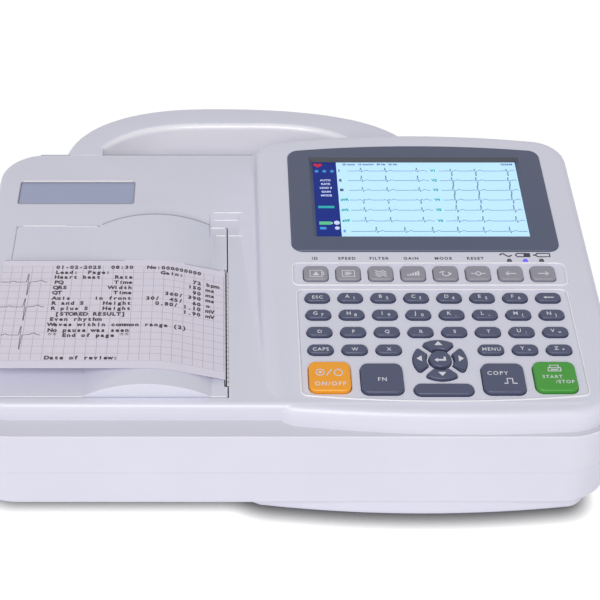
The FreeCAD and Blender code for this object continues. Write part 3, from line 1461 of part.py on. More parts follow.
def build():
    os.makedirs("parts", exist_ok=True)
    upper = upper_form()
    lower = lower_form()
    export(top_housing(upper), "top_housing")
    export(bottom_housing(lower), "bottom_housing")
    export(handle_loop([upper, lower]), "carry_handle")
    export(name_plate(), "name_plate")
    export(display_bezel(), "display_bezel")
    export(lcd_panel(), "lcd_panel")
    export(status_leds(), "status_leds")
    for node, solid in key_solids().items():
        export(on_panel(solid), node)
    export(key_mat(), "key_mat")
    export(keypad_board(), "keypad_board")
    export(paper_door(), "paper_door")
    export(group(hinge_pin_rods(PIN_R)), "door_hinge_pins")
    export(paper_strip(), "paper_strip")
    export(paper_roll(), "paper_roll")
    export(roll_spindle(), "roll_spindle")
    export(platen_roller(), "platen_roller")
    export(platen_gear(), "platen_gear")
    export(idler_gear(), "idler_gear")
    export(motor_pinion(), "motor_pinion")
    export(feed_motor(), "feed_motor")
    export(printer_chassis(), "printer_chassis")
    export(thermal_print_head(), "thermal_print_head")
    export(head_spring(), "head_spring")
    export(tear_bar(), "tear_bar")
    export(main_board(), "main_board")
    export(power_supply(), "power_supply")
    export(battery_pack(), "battery_pack")
    export(battery_cover(), "battery_cover")
    export(speaker(), "speaker")
    export(mains_inlet(), "mains_inlet")
    export(equipotential_terminal(), "equipotential_terminal")
    export(patient_port(), "patient_port")
    export(side_ports(), "side_ports")
    export(switch_frame(), "switch_frame")
    export(mains_switch(), "mains_switch")
    export(rubber_feet(), "rubber_feet")
    export(case_screws(), "case_screws")


build()
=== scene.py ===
# %% [markdown]
# # A portable ECG machine
# The frame is the imported CAD model: every node already sits in its place, in metres, with the
# front towards -Y. This lesson dresses it: the moulded case gets eased edges and a plastic finish,
# the keys get printed legends, the display gets a picture and the chart paper gets its grid.

# %% Load the frame
import json
import math

import bmesh
import bpy
from mathutils import Matrix, Vector


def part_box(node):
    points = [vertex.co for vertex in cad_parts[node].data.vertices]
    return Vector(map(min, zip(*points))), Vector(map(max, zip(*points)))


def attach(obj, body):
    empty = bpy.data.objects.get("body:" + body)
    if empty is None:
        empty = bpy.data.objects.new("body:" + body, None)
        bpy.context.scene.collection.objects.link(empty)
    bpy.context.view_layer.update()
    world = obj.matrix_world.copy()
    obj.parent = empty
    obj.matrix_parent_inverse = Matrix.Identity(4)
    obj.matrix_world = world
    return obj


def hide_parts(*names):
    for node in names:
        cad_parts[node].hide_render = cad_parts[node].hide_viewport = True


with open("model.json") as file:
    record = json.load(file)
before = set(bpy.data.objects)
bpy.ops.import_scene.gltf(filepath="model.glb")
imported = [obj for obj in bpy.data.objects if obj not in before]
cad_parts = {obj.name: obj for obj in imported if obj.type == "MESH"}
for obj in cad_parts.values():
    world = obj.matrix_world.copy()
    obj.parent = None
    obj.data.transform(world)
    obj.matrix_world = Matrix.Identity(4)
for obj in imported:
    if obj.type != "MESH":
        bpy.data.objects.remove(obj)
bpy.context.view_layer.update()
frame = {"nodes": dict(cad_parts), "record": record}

scene = bpy.context.scene
scene.view_settings.view_transform = "Standard"
MM = 0.001
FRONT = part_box("bottom_housing")[0].y
SLOT_OF = {row["node"]: row["material_slot"] for row in frame["record"]["subparts"]}
BODY_OF = {
    node: body
    for body, members in frame["record"]["behaviour"]["bodies"].items()
    for node in members
}

# %% [markdown]
# ## Camera
# The photograph looks down on the front at about forty degrees through a long lens. The picture is
# a crop from a wider one, so its centre is not the lens axis: a sideways shift of the sensor puts
# the vanishing point where the photograph has it, and no tilt of the object is needed.

# %% Camera
LENS = 93.0
PITCH_DOWN = 39.5
CROP_SHIFT = 0.1333
CAMERA_PLACE = (-0.032, -0.6335, 0.5525)
lens = bpy.data.cameras.new("camera")
lens.lens = LENS
lens.shift_x = CROP_SHIFT
camera = bpy.data.objects.new("camera", lens)
camera.location = CAMERA_PLACE
camera.rotation_euler = (math.radians(90 - PITCH_DOWN), 0, 0)
scene.collection.objects.link(camera)
scene.camera = camera
print("camera at", CAMERA_PLACE)

# %% [markdown]
# ## Small tools for finishes
# Colours are written as the sRGB hex values that a paint chart gives, and the shader wants linear
# light, so one function converts them. A second one adds a node to a material with its settings
# and links in a single call, which keeps each finish readable as a list of steps. The shader of a
# blank material gets its values and links in the same way.

# %% Colour and node helpers
def srgb(code):
    """Linear colour of a six-digit sRGB hex code."""
    channels = [int(code[i:i + 2], 16) / 255 for i in (0, 2, 4)]
    linear = [c / 12.92 if c <= 0.04045 else ((c + 0.055) / 1.055) ** 2.4 for c in channels]
    return (*linear, 1.0)


def plug(node, inputs):
    """Give each input a value, or a link where the value is another node's output."""
    for socket, value in inputs.items():
        if isinstance(value, bpy.types.NodeSocket):
            node.id_data.links.new(value, node.inputs[socket])
        else:
            node.inputs[socket].default_value = value


def add(tree, kind, inputs, **fields):
    """Add a shader node with its settings and plug its inputs."""
    node = tree.nodes.new("ShaderNode" + kind)
    for field, value in fields.items():
        setattr(node, field, value)
    plug(node, inputs)
    return node


def blank(name):
    """A new material, with its node tree and its shader."""
    material = bpy.data.materials.new(name)
    material.use_nodes = True
    return material, material.node_tree, material.node_tree.nodes["Principled BSDF"]


print("white is", srgb("FFFFFF"))

# %% [markdown]
# ## Floor and light
# The machine stands on a white sweep with only a thin soft shadow under its front edge. The floor
# is a pale diffuse sheet with a glow that only the viewer and mirror-like rays see. The glow stands
# for the even light of the sweep, so it fades where something stands close: open floor reaches
# white and the shadow at the foot stays. One broad lamp in front and above lights the front faces
# more than the deck, as in the photograph, and an even sky fills the rest.

# %% Floor
FLOOR_SIZE = 3.0
FLOOR_GLOW = 0.9
CONTACT = 8.2 * MM
CONTACT_FALLOFF = 2.6


def seen_directly(tree):
    """1 for camera, mirror and see-through rays, 0 for the rays that carry light."""
    path = add(tree, "LightPath", {})
    seen = path.outputs["Is Camera Ray"]
    for ray in ("Is Glossy Ray", "Is Transmission Ray"):
        either = add(tree, "Math", {0: seen, 1: path.outputs[ray]}, operation="MAXIMUM")
        seen = either.outputs[0]
    return seen


sweep, tree, sheet_shader = blank("white_paper_sweep")
seen = seen_directly(tree)
shade = add(tree, "Mix", {0: seen, 6: srgb("FBFBFC"), 7: srgb("6C6C6E")}, data_type="RGBA")
plug(sheet_shader, {"Base Color": shade.outputs[2], "Roughness": 0.9})
near = add(tree, "AmbientOcclusion", {"Distance": CONTACT}, samples=8)
deep = add(tree, "Math", {0: near.outputs["AO"], 1: CONTACT_FALLOFF}, operation="POWER")
lit = add(tree, "Math", {0: deep.outputs[0], 1: FLOOR_GLOW}, operation="MULTIPLY")
glow = add(tree, "Math", {0: lit.outputs[0], 1: seen}, operation="MULTIPLY")
light = add(tree, "Emission", {"Color": srgb("FFFFFF"), "Strength": glow.outputs[0]})
both = add(tree, "AddShader", {0: sheet_shader.outputs[0], 1: light.outputs[0]})
plug(tree.nodes["Material Output"], {"Surface": both.outputs[0]})
bm = bmesh.new()
bmesh.ops.create_grid(bm, x_segments=1, y_segments=1, size=FLOOR_SIZE)
floor_mesh = bpy.data.meshes.new("floor")
bm.to_mesh(floor_mesh)
bm.free()
floor_mesh.materials.append(sweep)
floor = bpy.data.objects.new("floor", floor_mesh)
scene.collection.objects.link(floor)
print("floor", 2 * FLOOR_SIZE, "m square")

# %% Sky and lamp
SKY = 0.365
LAMP_POWER = 125.0
LAMP_SIZE = 2.6
LAMP_PLACE = Vector((-0.6, -3.12, 3.05))
LAMP_AIM = Vector((0, 0, 0.05))
world = bpy.data.worlds.new("studio")
scene.world = world
world.use_nodes = True
tree = world.node_tree
sky = tree.nodes["Background"]
plug(sky, {"Color": srgb("FAFBFF"), "Strength": SKY})
white = add(tree, "Background", {"Color": srgb("FFFFFF"), "Strength": 1.0})
either = add(tree, "MixShader", {0: seen_directly(tree), 1: sky.outputs[0], 2: white.outputs[0]})
plug(tree.nodes["World Output"], {"Surface": either.outputs[0]})
lamp_data = bpy.data.lights.new("soft_box", "AREA")
lamp_data.energy = LAMP_POWER
lamp_data.color = srgb("FFFCF8")[:3]
lamp_data.size = LAMP_SIZE
lamp = bpy.data.objects.new("soft_box", lamp_data)
lamp.location = LAMP_PLACE
lamp.rotation_euler = (LAMP_AIM - LAMP_PLACE).to_track_quat("-Z", "Y").to_euler()
scene.collection.objects.link(lamp)
print("lamp", LAMP_POWER, "W, sky", SKY)

# %% [markdown]
# ## Moulded plastics
# The case, the keys and the bezel are injection-moulded ABS. Its surface was spark-eroded in the
# mould, which leaves a fine even grain that breaks up reflections, and the pigment clouds very
# slightly. A broad noise shifts the colour, a fine one lifts the surface and varies the gloss.
# The real grain is about 0.05 mm, far below a pixel, so it is drawn about ten times coarser.

# %% Finish for moulded plastic
CLOUD = 45 * MM
GRAIN = 0.6 * MM
FINE_GRAIN = 0.5 * MM
COARSE = 0.9 * MM
LIFT = 0.02 * MM
GLOSS_SPREAD = 0.06
GRAIN_BUMP = 0.25
PLASTIC_IOR = 1.54


def moulded(name, colour, shade, roughness, grain=GRAIN, lift=LIFT):
    """ABS or nylon from a textured mould: clouded pigment, fine grain in bump and gloss."""
    material, tree, shader = blank(name)
    place = add(tree, "TexCoord", {}).outputs["Object"]
    cloud = add(tree, "TexNoise", {"Vector": place, "Scale": 1 / CLOUD, "Detail": 3.0})
    fine = add(tree, "TexNoise", {"Vector": place, "Scale": 1 / grain, "Detail": 2.0})
    tint = add(
        tree, "Mix", {0: cloud.outputs["Fac"], 6: srgb(colour), 7: srgb(shade)}, data_type="RGBA",
    )
    gloss = add(
        tree, "MapRange",
        {
            "Value": fine.outputs["Fac"],
            "To Min": roughness - GLOSS_SPREAD, "To Max": roughness + GLOSS_SPREAD,
        },
    )
    bump = add(
        tree, "Bump", {"Height": fine.outputs["Fac"], "Strength": GRAIN_BUMP, "Distance": lift},
    )
    plug(shader, {"Base Color": tint.outputs[2], "Roughness": gloss.outputs[0]})
    plug(shader, {"Normal": bump.outputs[0], "IOR": PLASTIC_IOR})
    return material


FINISH = {
    # Pale lavender-white ABS: satin, so edges catch a soft light
    "case_abs": moulded("ABS_pale_case", "DFE0EF", "D9DAEA", 0.32),
    # Pocket rims and other edges: the same plastic, smoother, and lighter as a painted highlight
    "painted_highlight_abs": moulded("ABS_painted_highlight", "F1F1F8", "ECECF4", 0.24, lift=LIFT / 4),
    # Cove below the lip: coarser mould grain, and a darker colour that is painted shade
    "cove_painted_shade": moulded("ABS_cove_painted_shade", "C3C3D0", "BEBECB", 0.5, COARSE, 2 * LIFT),
    # Slate ABS of the display frame: darker and a little matter
    "bezel_abs": moulded("ABS_slate_bezel", "4D566F", "485069", 0.45),
    # Key caps: smoother mould, so the caps show a small clear highlight
    "key_grey": moulded("ABS_grey_keys", "9795A2", "8F8E9A", 0.38),
    "key_slate": moulded("ABS_slate_keys", "484E6C", "434966", 0.38),
    "key_orange": moulded("ABS_orange_key", "FBAA26", "F6A21F", 0.36),
    "key_green": moulded("ABS_green_key", "3F9E30", "399329", 0.36),
    # Printer tub and spindle: mid-grey ABS with a coarse moulded grain
    "chassis_abs": moulded("ABS_grey_chassis", "9C9CA8", "9494A0", 0.5, COARSE),
    # Unfilled nylon of the gears: milky and waxy
    "gear_nylon": moulded("nylon_gears", "EDEBE0", "E6E3D6", 0.4),
    "connector_black": moulded("PBT_black_connectors", "1E1E21", "18181B", 0.45),
    # Silicone keypad mat: soft, matt and faintly cloudy
    "silicone": moulded("silicone_mat", "B9B9BE", "B0B0B6", 0.65, 0.8 * MM),
    # Printed polyester film of the bare plate: smooth, with a satin coat
    "plate_film": moulded("polyester_film_plate", "A6AECB", "9EA6C3", 0.34, lift=LIFT / 2),
    # Shrink film round the cells: thin and glossy
    "battery_wrap": moulded("PVC_shrink_wrap", "2A4F9A", "264890", 0.28, 1.2 * MM, 2 * LIFT),
    # Vulcanised rubber: dusty matt black
    "roller_rubber": moulded("rubber_platen", "2A2A2C", "242426", 0.7, FINE_GRAIN),
    "foot_rubber": moulded("rubber_feet", "26262A", "202023", 0.75, FINE_GRAIN),
}
print("moulded finishes:", len(FINISH))

# %% [markdown]
# ## Metals and boards
# Rolled steel and extruded aluminium show fine parallel draw lines, so their noise is stretched
# along one direction. The circuit boards are green solder mask over copper: a large cell pattern
# hints at the copper areas under the lacquer. Most of these only show when the paper door is open.

# %% Finishes for metals
STREAK_LONG = 5 * MM
STREAK_WIDE = MM / 3
STREAK_LIFT = 0.01 * MM
BRIGHTER, DULLER = 0.1, 0.12


def drawn_metal(name, colour, roughness, along):
    """Rolled or drawn metal: gloss varies in streaks along the given direction."""
    material, tree, shader = blank(name)
    place = add(tree, "TexCoord", {}).outputs["Object"]
    streak_scale = [1 / (STREAK_LONG if axis in along else STREAK_WIDE) for axis in "xyz"]
    spread = add(tree, "Mapping", {"Vector": place, "Scale": streak_scale})
    streaks = add(tree, "TexNoise", {"Vector": spread.outputs[0], "Scale": 1.0})
    gloss = add(
        tree, "MapRange",
        {
            "Value": streaks.outputs["Fac"],
            "To Min": roughness - BRIGHTER, "To Max": roughness + DULLER,
        },
    )
    bump = add(
        tree, "Bump",
        {"Height": streaks.outputs["Fac"], "Strength": 0.2, "Distance": STREAK_LIFT},
    )
    plug(shader, {"Base Color": srgb(colour), "Metallic": 1.0})
    plug(shader, {"Roughness": gloss.outputs[0], "Normal": bump.outputs[0]})
    return material


FINISH["steel"] = drawn_metal("rolled_steel", "B9BABD", 0.32, "y")
FINISH["head_aluminium"] = drawn_metal("extruded_aluminium", "C9CBCE", 0.35, "y")
FINISH["motor_can"] = drawn_metal("zinc_plated_steel", "A2A4A8", 0.36, "y")
FINISH["connector_metal"] = drawn_metal("nickel_plated_shells", "BDBBB6", 0.28, "x")
FINISH["brass"] = drawn_metal("nickelled_brass", "C8A75A", 0.3, "y")
print("finishes so far:", len(FINISH))

# %% Finish for circuit boards
COPPER_CELL = 6 * MM
board, tree, shader = blank("solder_mask_board")
place = add(tree, "TexCoord", {}).outputs["Object"]
copper = add(
    tree, "TexVoronoi", {"Vector": place, "Scale": 1 / COPPER_CELL},
    feature="F1", distance="MANHATTAN",
)
lacquer = add(
    tree, "Mix",
    {0: copper.outputs["Distance"], 6: srgb("1F6B3A"), 7: srgb("17552D")}, data_type="RGBA",
)
plug(shader, {"Base Color": lacquer.outputs[2], "Roughness": 0.35})
FINISH["circuit_board"] = board
print("board lacquer over copper cells of", COPPER_CELL / MM, "mm")

# %% [markdown]
# ## Dressing a node
# A node comes as loose triangles with hard facets. To look moulded, its copy is welded, its flat
# triangles are joined back into whole faces, and only true corners stay sharp. A bevel modifier
# then rounds those corners by a few tenths of a millimetre, because no moulded edge is ever
# perfectly sharp and that tiny round is what draws the bright line along it. The CAD node itself
# stays untouched and hidden; the copy stands for it and moves with the same body. The cove below
# the lip gets a darker finish, painted shade, and the ledge under it and the grip side of the
# handle a lighter one, painted highlight, face by face.

# %% Dressing tools
FLAT_ANGLE = math.radians(0.4)
CORNER_ANGLE = math.radians(28)
WELD = 0.002 * MM


def piece(name, bm, body, slot, materials, *stands_for):
    """Make a finished object from bm, riding on a body, in place of the named nodes."""
    mesh = bpy.data.meshes.new(name)
    bm.to_mesh(mesh)
    bm.free()
    for material in materials:
        mesh.materials.append(material)
    made = bpy.data.objects.new(name, mesh)
    scene.collection.objects.link(made)
    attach(made, body)
    if stands_for:
        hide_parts(*stands_for)
    return made


def welded(node):
    """A bmesh copy of a node, welded, with whole flat faces and smooth curved ones."""
    bm = bmesh.new()
    bm.from_mesh(frame["nodes"][node].data)
    bmesh.ops.remove_doubles(bm, verts=bm.verts, dist=WELD)
    bmesh.ops.dissolve_limit(bm, angle_limit=FLAT_ANGLE, verts=bm.verts, edges=bm.edges)
    for face in bm.faces:
        face.smooth = True
        face.material_index = 0
    for edge in bm.edges:
        edge.smooth = edge.is_manifold and edge.calc_face_angle() < CORNER_ANGLE
    return bm


def ease(made, width, segments=2):
    """Round the corners of a finished piece by a bevel modifier."""
    bevel = made.modifiers.new("eased_edges", "BEVEL")
    bevel.width = width
    bevel.segments = segments
    bevel.limit_method = "ANGLE"
    bevel.angle_limit = CORNER_ANGLE
    bevel.use_clamp_overlap = False
    bevel.harden_normals = True


def dress(node, width=0.0, segments=2):
    """The dressed copy that stands for a node."""
    slot = SLOT_OF[node]
    made = piece(node + "_skin", welded(node), BODY_OF[node], slot, [FINISH[slot]], node)
    if width:
        ease(made, width, segments)
    return made


def fit(name, bm, node, *finishes):
    """A small new piece that rides with a node."""
    piece(name, bm, BODY_OF[node], SLOT_OF[node], [FINISH[finish] for finish in finishes])


print("dressing ready")

# %% Dress the case and the keys
CASE_ROUND = 0.2 * MM
FRAME_ROUND = 0.15 * MM
KEY_ROUND = 0.3 * MM
FITTING_ROUND = 0.1 * MM
LEDGE_HEIGHT = 56.0 * MM
LEDGE_SLACK = 0.05 * MM
COVE_FOOT = 56.1 * MM
COVE_HEAD = 59.7 * MM
STEEP, LEVEL = 0.2, 0.98
GRIP_LEAN = -0.3
housing = dress("top_housing", CASE_ROUND)
for name in ("cove_painted_shade", "painted_highlight_abs"):
    housing.data.materials.append(FINISH[name])
for face in housing.data.polygons:
    height, lean = face.center.z, face.normal.z
    # Faces of the cove take the darker copy: painted shade under the lip
    if COVE_FOOT < height < COVE_HEAD and STEEP < lean < LEVEL:
        face.material_index = 1
    # The narrow ledge at the foot of the cove takes the lighter copy: a painted highlight line
    if abs(height - LEDGE_HEIGHT) < LEDGE_SLACK and lean > LEVEL:
        face.material_index = 2
dress("paper_door", CASE_ROUND)
handle = dress("carry_handle")
handle.data.materials.append(FINISH["painted_highlight_abs"])
# The grip side takes the lighter plastic: painted light on a face that lies in shade
for face in handle.data.polygons:
    face.material_index = int(face.normal.y < GRIP_LEAN)
for node in ("bottom_housing", "battery_cover", "rubber_feet"):
    dress(node)
for node in ("display_bezel", "name_plate"):
    dress(node, FRAME_ROUND)
keys = [node for node in SLOT_OF if node.startswith(("key_", "letter_keys")) and node != "key_mat"]
for node in keys:
    dress(node, KEY_ROUND, 3)
print("dressed", len(keys), "keys and key rows")

# %% Dress what shows at the sides, the back and under the open door
for node in (
    "door_hinge_pins", "tear_bar", "case_screws", "platen_roller", "platen_gear", "idler_gear",
    "motor_pinion", "feed_motor", "roll_spindle", "printer_chassis", "thermal_print_head",
    "mains_inlet", "mains_switch", "switch_frame", "equipotential_terminal", "patient_port",
    "side_ports",
):
    dress(node, FITTING_ROUND)
for node in (
    "key_mat", "keypad_board", "main_board", "power_supply", "battery_pack", "speaker",
    "head_spring",
):
    materials = frame["nodes"][node].data.materials
    materials.clear()
    materials.append(FINISH[SLOT_OF[node]])
print("dressed the fittings and the printer")

# %% [markdown]
# ## Printing on the keys
# The legends are pad-printed: a flat film of ink about as thick as paint. Each word starts as
# Blender text and each icon as a flat curve; both are made into thin closed meshes, laid on the
# tilted panel and joined per key, so that every legend moves with its own key. The panel's own
# coordinates are used throughout: u across, v up the slope and w out of the panel, in millimetres.

# %% Panel coordinates and ink tools
PANEL_TILT = math.radians(5)
PANEL_MIDDLE = 71.2 * MM
PANEL_FOOT = FRONT + 12 * MM
DECK = 69 * MM
PANEL = Matrix.Translation((PANEL_MIDDLE, PANEL_FOOT, DECK)) @ Matrix.Rotation(PANEL_TILT, 4, "X")
INK = 0.05
SQUASH = 0.12
FLAT_LINE = Matrix.Diagonal((1, 1, SQUASH, 1))
BOLD = 0.03
FINE = 0.012


def on_panel(u, v, w):
    """Matrix that lays a drawing in millimetres on the panel, w above it."""
    return PANEL @ Matrix.Translation(Vector((u, v, w + INK / 2)) * MM) @ Matrix.Scale(MM, 4)


def place_of(node):
    """Middle of a key in panel millimetres."""
    low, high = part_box(node)
    middle = PANEL.inverted() @ ((low + high) / 2) / MM
    return middle.x, middle.y


def lay(bm, curve, at, finish=0):
    """Turn a flat curve or text into a mesh, lay it in place and add it to bm."""
    holder = bpy.data.objects.new("drawing", curve)
    mesh = bpy.data.meshes.new_from_object(holder)
    bpy.data.objects.remove(holder)
    bpy.data.curves.remove(curve)
    mesh.transform(at)
    for polygon in mesh.polygons:
        polygon.material_index = finish
    bm.from_mesh(mesh)
    bpy.data.meshes.remove(mesh)


def words(text, size, align="CENTER", spacing=1.0, weight=BOLD):
    """Text in millimetres, as thick as the ink."""
    curve = bpy.data.curves.new("words", "FONT")
    curve.body = text
    curve.size = size
    curve.align_x = align
    curve.align_y = "CENTER"
    curve.space_character = spacing
    curve.offset = size * weight
    curve.resolution_u = 3
    curve.extrude = INK / 2
    return curve


def outline(points, closed, kind):
    """A curve through points (u, v) in millimetres."""
    curve = bpy.data.curves.new("outline", "CURVE")
    curve.dimensions = kind
    spline = curve.splines.new("POLY")
    spline.points.add(len(points) - 1)
    for knot, (u, v) in zip(spline.points, points):
        knot.co = (u, v, 0, 1)
    spline.use_cyclic_u = closed
    return curve


def stroke(points, width, closed=False):
    """A drawn line of the given width."""
    curve = outline(points, closed, "3D")
    curve.bevel_depth = width / 2
    curve.bevel_resolution = 1
    curve.use_fill_caps = True
    return curve


def solid(points):
    """A filled shape, as thick as the ink."""
    curve = outline(points, True, "2D")
    curve.fill_mode = "BOTH"
    curve.extrude = INK / 2
    return curve


def round_points(radius, count=20, middle=(0, 0), start=0.0, sweep=360.0):
    """Points round a circle or along part of it."""
    angles = [math.radians(start + sweep * i / count) for i in range(count + (sweep < 360))]
    return [(middle[0] + radius * math.cos(a), middle[1] + radius * math.sin(a)) for a in angles]


def corners(left, right, low, high):
    """Corner points of a rectangle."""
    return [(left, low), (right, low), (right, high), (left, high)]


def draw(bm, points, width, at, finish=0, closed=False):
    """Lay a drawn line, flattened to the thickness of ink."""
    lay(bm, stroke(points, width, closed), at @ FLAT_LINE, finish)


print("ink", INK, "mm thick")

# %% Ink finish
MOTTLE = 1.5 * MM
MATT = {"Roughness": 0.6}


def printed(name, colour, shade, gloss):
    """Screen ink: even, with the faint mottle of a cured film."""
    material, tree, shader = blank(name)
    place = add(tree, "TexCoord", {}).outputs["Object"]
    mottle = add(tree, "TexNoise", {"Vector": place, "Scale": 1 / MOTTLE})
    tint = add(
        tree, "Mix", {0: mottle.outputs["Fac"], 6: srgb(colour), 7: srgb(shade)}, data_type="RGBA",
    )
    plug(shader, {"Base Color": tint.outputs[2], **gloss})
    return material


# Pad-printing ink: matt, so the legends stay readable under the lamp
FINISH["white_ink"] = printed("ink_white", "E6E6EF", "D9D9E4", MATT)
FINISH["dark_ink"] = printed("ink_dark", "3A3B46", "33343E", MATT)
print("inks ready")

# %% Letter keys
COLUMN = 16.0
LETTER_TOP = 1.2
# Size, letter spacing and place from the key's middle
ALONE = ((2.9, 1.2, 0, -0.8),)
PAIR = ((3.1, 1.0, -1.5, -0.2), (2.6, 1.0, 1.7, -1.3))
ROWS = {
    1: ["ESC", "A 1", "B 2", "C 3", "D 4", "E 5", "F 6", "<"],
    2: ["G 7", "H 8", "I 9", "J 0", "K .", "L -", "M (", "N )"],
    3: ["O", "P", "Q", "R", "S", "T", "U :", "V ="],
    4: ["CAPS", "W", "X", "", "", "MENU", "Y +", "Z *"],
}
BACK_ARROW = [
    (-2.6, 0), (-1.2, 0.8), (-1.2, 0.3), (2.6, 0.3), (2.6, -0.3), (-1.2, -0.3), (-1.2, -0.8),
]


def column_u(column):
    """Middle of a column of keys, across the panel."""
    return (column - 3.5) * COLUMN


for row, legends in ROWS.items():
    node = f"letter_keys_row_{row}"
    v = place_of(node)[1]
    bm = bmesh.new()
    for column, legend in enumerate(legends):
        parts = legend.split()
        for part, (size, space, du, dv) in zip(parts, PAIR if len(parts) == 2 else ALONE):
            drawing = solid(BACK_ARROW) if part == "<" else words(part, size, "CENTER", space, FINE)
            lay(bm, drawing, on_panel(column_u(column) + du, v + dv, LETTER_TOP))
    fit(f"{node}_legends", bm, node, "white_ink")
print("legends on", len(ROWS), "letter rows")

# %% Function keys
ICON_LINE = 0.65
ICON_DROP = 1.0
STAIRS = ((-3.2, -0.8), (-1.9, -0.3), (-0.6, 0.3), (0.7, 1.0), (2.0, 1.7))


def wave(middle):
    """A short wavy line at a height."""
    return [(u / 4, middle + 0.5 * math.sin(u * 0.45)) for u in range(-11, 12)]


def arrow(sign):
    """Shaft and head of an arrow to the left or to the right."""
    shaft = [(-2.6, 0), (2.6, 0)]
    head = [(sign * 1.0, 1.3), (sign * 2.6, 0), (sign * 1.0, -1.3)]
    return [shaft, head]


# Each icon has open lines, filled shapes and closed lines
ICONS = {
    1: (
        [], [[(-1.6, -1.3), (0, 1.4), (1.6, -1.3)]],
        [corners(-2.9, 2.9, -2.3, 2.3), corners(3.0, 3.8, -1.0, 1.0)],
    ),
    2: (
        [[(-1.8, 0.9), (1.2, 0.9)], [(-1.8, 0), (1.8, 0)], [(-1.8, -0.9), (0.6, -0.9)]],
        [], [corners(-3.0, 3.0, -2.2, 2.2)],
    ),
    3: ([wave(1.5), wave(0), wave(-1.5)], [], []),
    4: ([], [corners(left, left + 0.9, -1.5, top) for left, top in STAIRS], []),
    5: (
        [round_points(1.7, 16, (0, -0.1), 110, 290), [(-3.2, 0.4), (-1.6, 1.6)]],
        [[(1.2, 0.2), (2.9, 0.4), (2.0, -1.4)]], [],
    ),
    6: ([[(-3.6, 0), (-1.2, 0)], [(1.2, 0), (3.6, 0)]], [], [round_points(1.2)]),
    7: (arrow(-1), [], []),
    8: (arrow(1), [], []),
}
for number, (lines, fills, loops) in ICONS.items():
    node = f"key_f{number}"
    u, v = place_of(node)
    at = on_panel(u, v - ICON_DROP, LETTER_TOP)
    bm = bmesh.new()
    for points in lines:
        draw(bm, points, ICON_LINE, at)
    for points in fills:
        lay(bm, solid(points), at)
    for points in loops:
        draw(bm, points, ICON_LINE, at, closed=True)
    fit(f"{node}_icon", bm, node, "white_ink")
print("icons on", len(ICONS), "function keys")

# %% Arrow ring
RING_U, RING_V = place_of("key_ok")
RING_MIDDLE = 9.6
HUB_TOP = 1.6
HUB_DROP = 0.9
ARROW = [(1.5, 0), (-1.0, 1.9), (-1.0, -1.9)]
ENTER = [
    (-2.9, -0.4), (-1.3, 0.9), (-1.3, 0.15), (1.5, 0.15), (1.5, 1.6), (2.5, 1.6), (2.5, -0.95),
    (-1.3, -0.95), (-1.3, -1.7),
]
for quarter, node in enumerate(("key_right", "key_up", "key_left", "key_down")):
    turn = Matrix.Rotation(math.radians(90 * quarter), 4, "Z")
    at = on_panel(RING_U, RING_V, LETTER_TOP) @ turn @ Matrix.Translation((RING_MIDDLE, 0, 0))
    bm = bmesh.new()
    lay(bm, solid(ARROW), at)
    fit(f"{node}_mark", bm, node, "white_ink")
bm = bmesh.new()
lay(bm, solid(ENTER), on_panel(RING_U, RING_V - HUB_DROP, HUB_TOP))
fit("key_ok_mark", bm, "key_ok", "white_ink")
print("marks on the arrow ring")

# %% Large keys
PICTURE_DROP = 1.4
LETTER_SPACE = 1.25
ON_AT, OFF_AT = (-4.4, 3.4), (4.0, 3.2)
PULSE = [(-0.2, -2.5), (1.3, -2.5), (1.3, 0.5), (3.8, 0.5), (3.8, -2.5), (5.8, -2.5)]
# Each key has words with their size and place, and lines with their width, open or closed
LARGE = {
    "key_power": (
        [("ON/OFF", 3.4, 0, -5.2)],
        [
            (round_points(1.9, middle=ON_AT), 0.55, True), ([(-1.6, 1.4), (1.0, 5.4)], 0.6, False),
            (round_points(1.9, middle=OFF_AT), 0.55, True), ([(4.0, 5.1), (4.0, 5.9)], 0.55, False),
        ],
    ),
    "key_shift": ([("FN", 3.2, 0, -1.5)], []),
    "key_copy": ([("COPY", 3.2, -2.6, 2.3)], [(PULSE, 0.75, False)]),
    "key_start": (
        [("START", 2.7, -1.6, -0.9), ("/STOP", 2.7, 3.8, -4.0)],
        [
            (corners(-2.9, 2.9, 4.2, 6.2), 0.7, True), ([(-1.8, 5.2), (1.8, 5.2)], 0.6, False),
            ([(-2.0, 6.3), (-2.0, 7.8), (2.0, 7.8), (2.0, 6.3)], 0.6, False),
        ],
    ),
}
for node, (texts, lines) in LARGE.items():
    u, v = place_of(node)
    bm = bmesh.new()
    for text, size, du, dv in texts:
        drawing = words(text, size, spacing=LETTER_SPACE, weight=FINE)
        lay(bm, drawing, on_panel(u + du, v + dv, HUB_TOP))
    at = on_panel(u, v - PICTURE_DROP, HUB_TOP)
    for points, width, closed in lines:
        draw(bm, points, width, at, closed=closed)
    if node == "key_power":
        lay(bm, solid(round_points(0.7, 12, ON_AT)), at)
    fit(f"{node}_legend", bm, node, "white_ink")
print("legends on the large keys")

# %% [markdown]
# ## Panel labels and status lights
# Small dark words name the function keys, and three pictures name the status lights: mains,
# charging and battery. The lights are clear plastic pipes that bring the glow up from the board;
# two are off and look smoky, and the middle one is lit, so it alone gets a finish that glows.

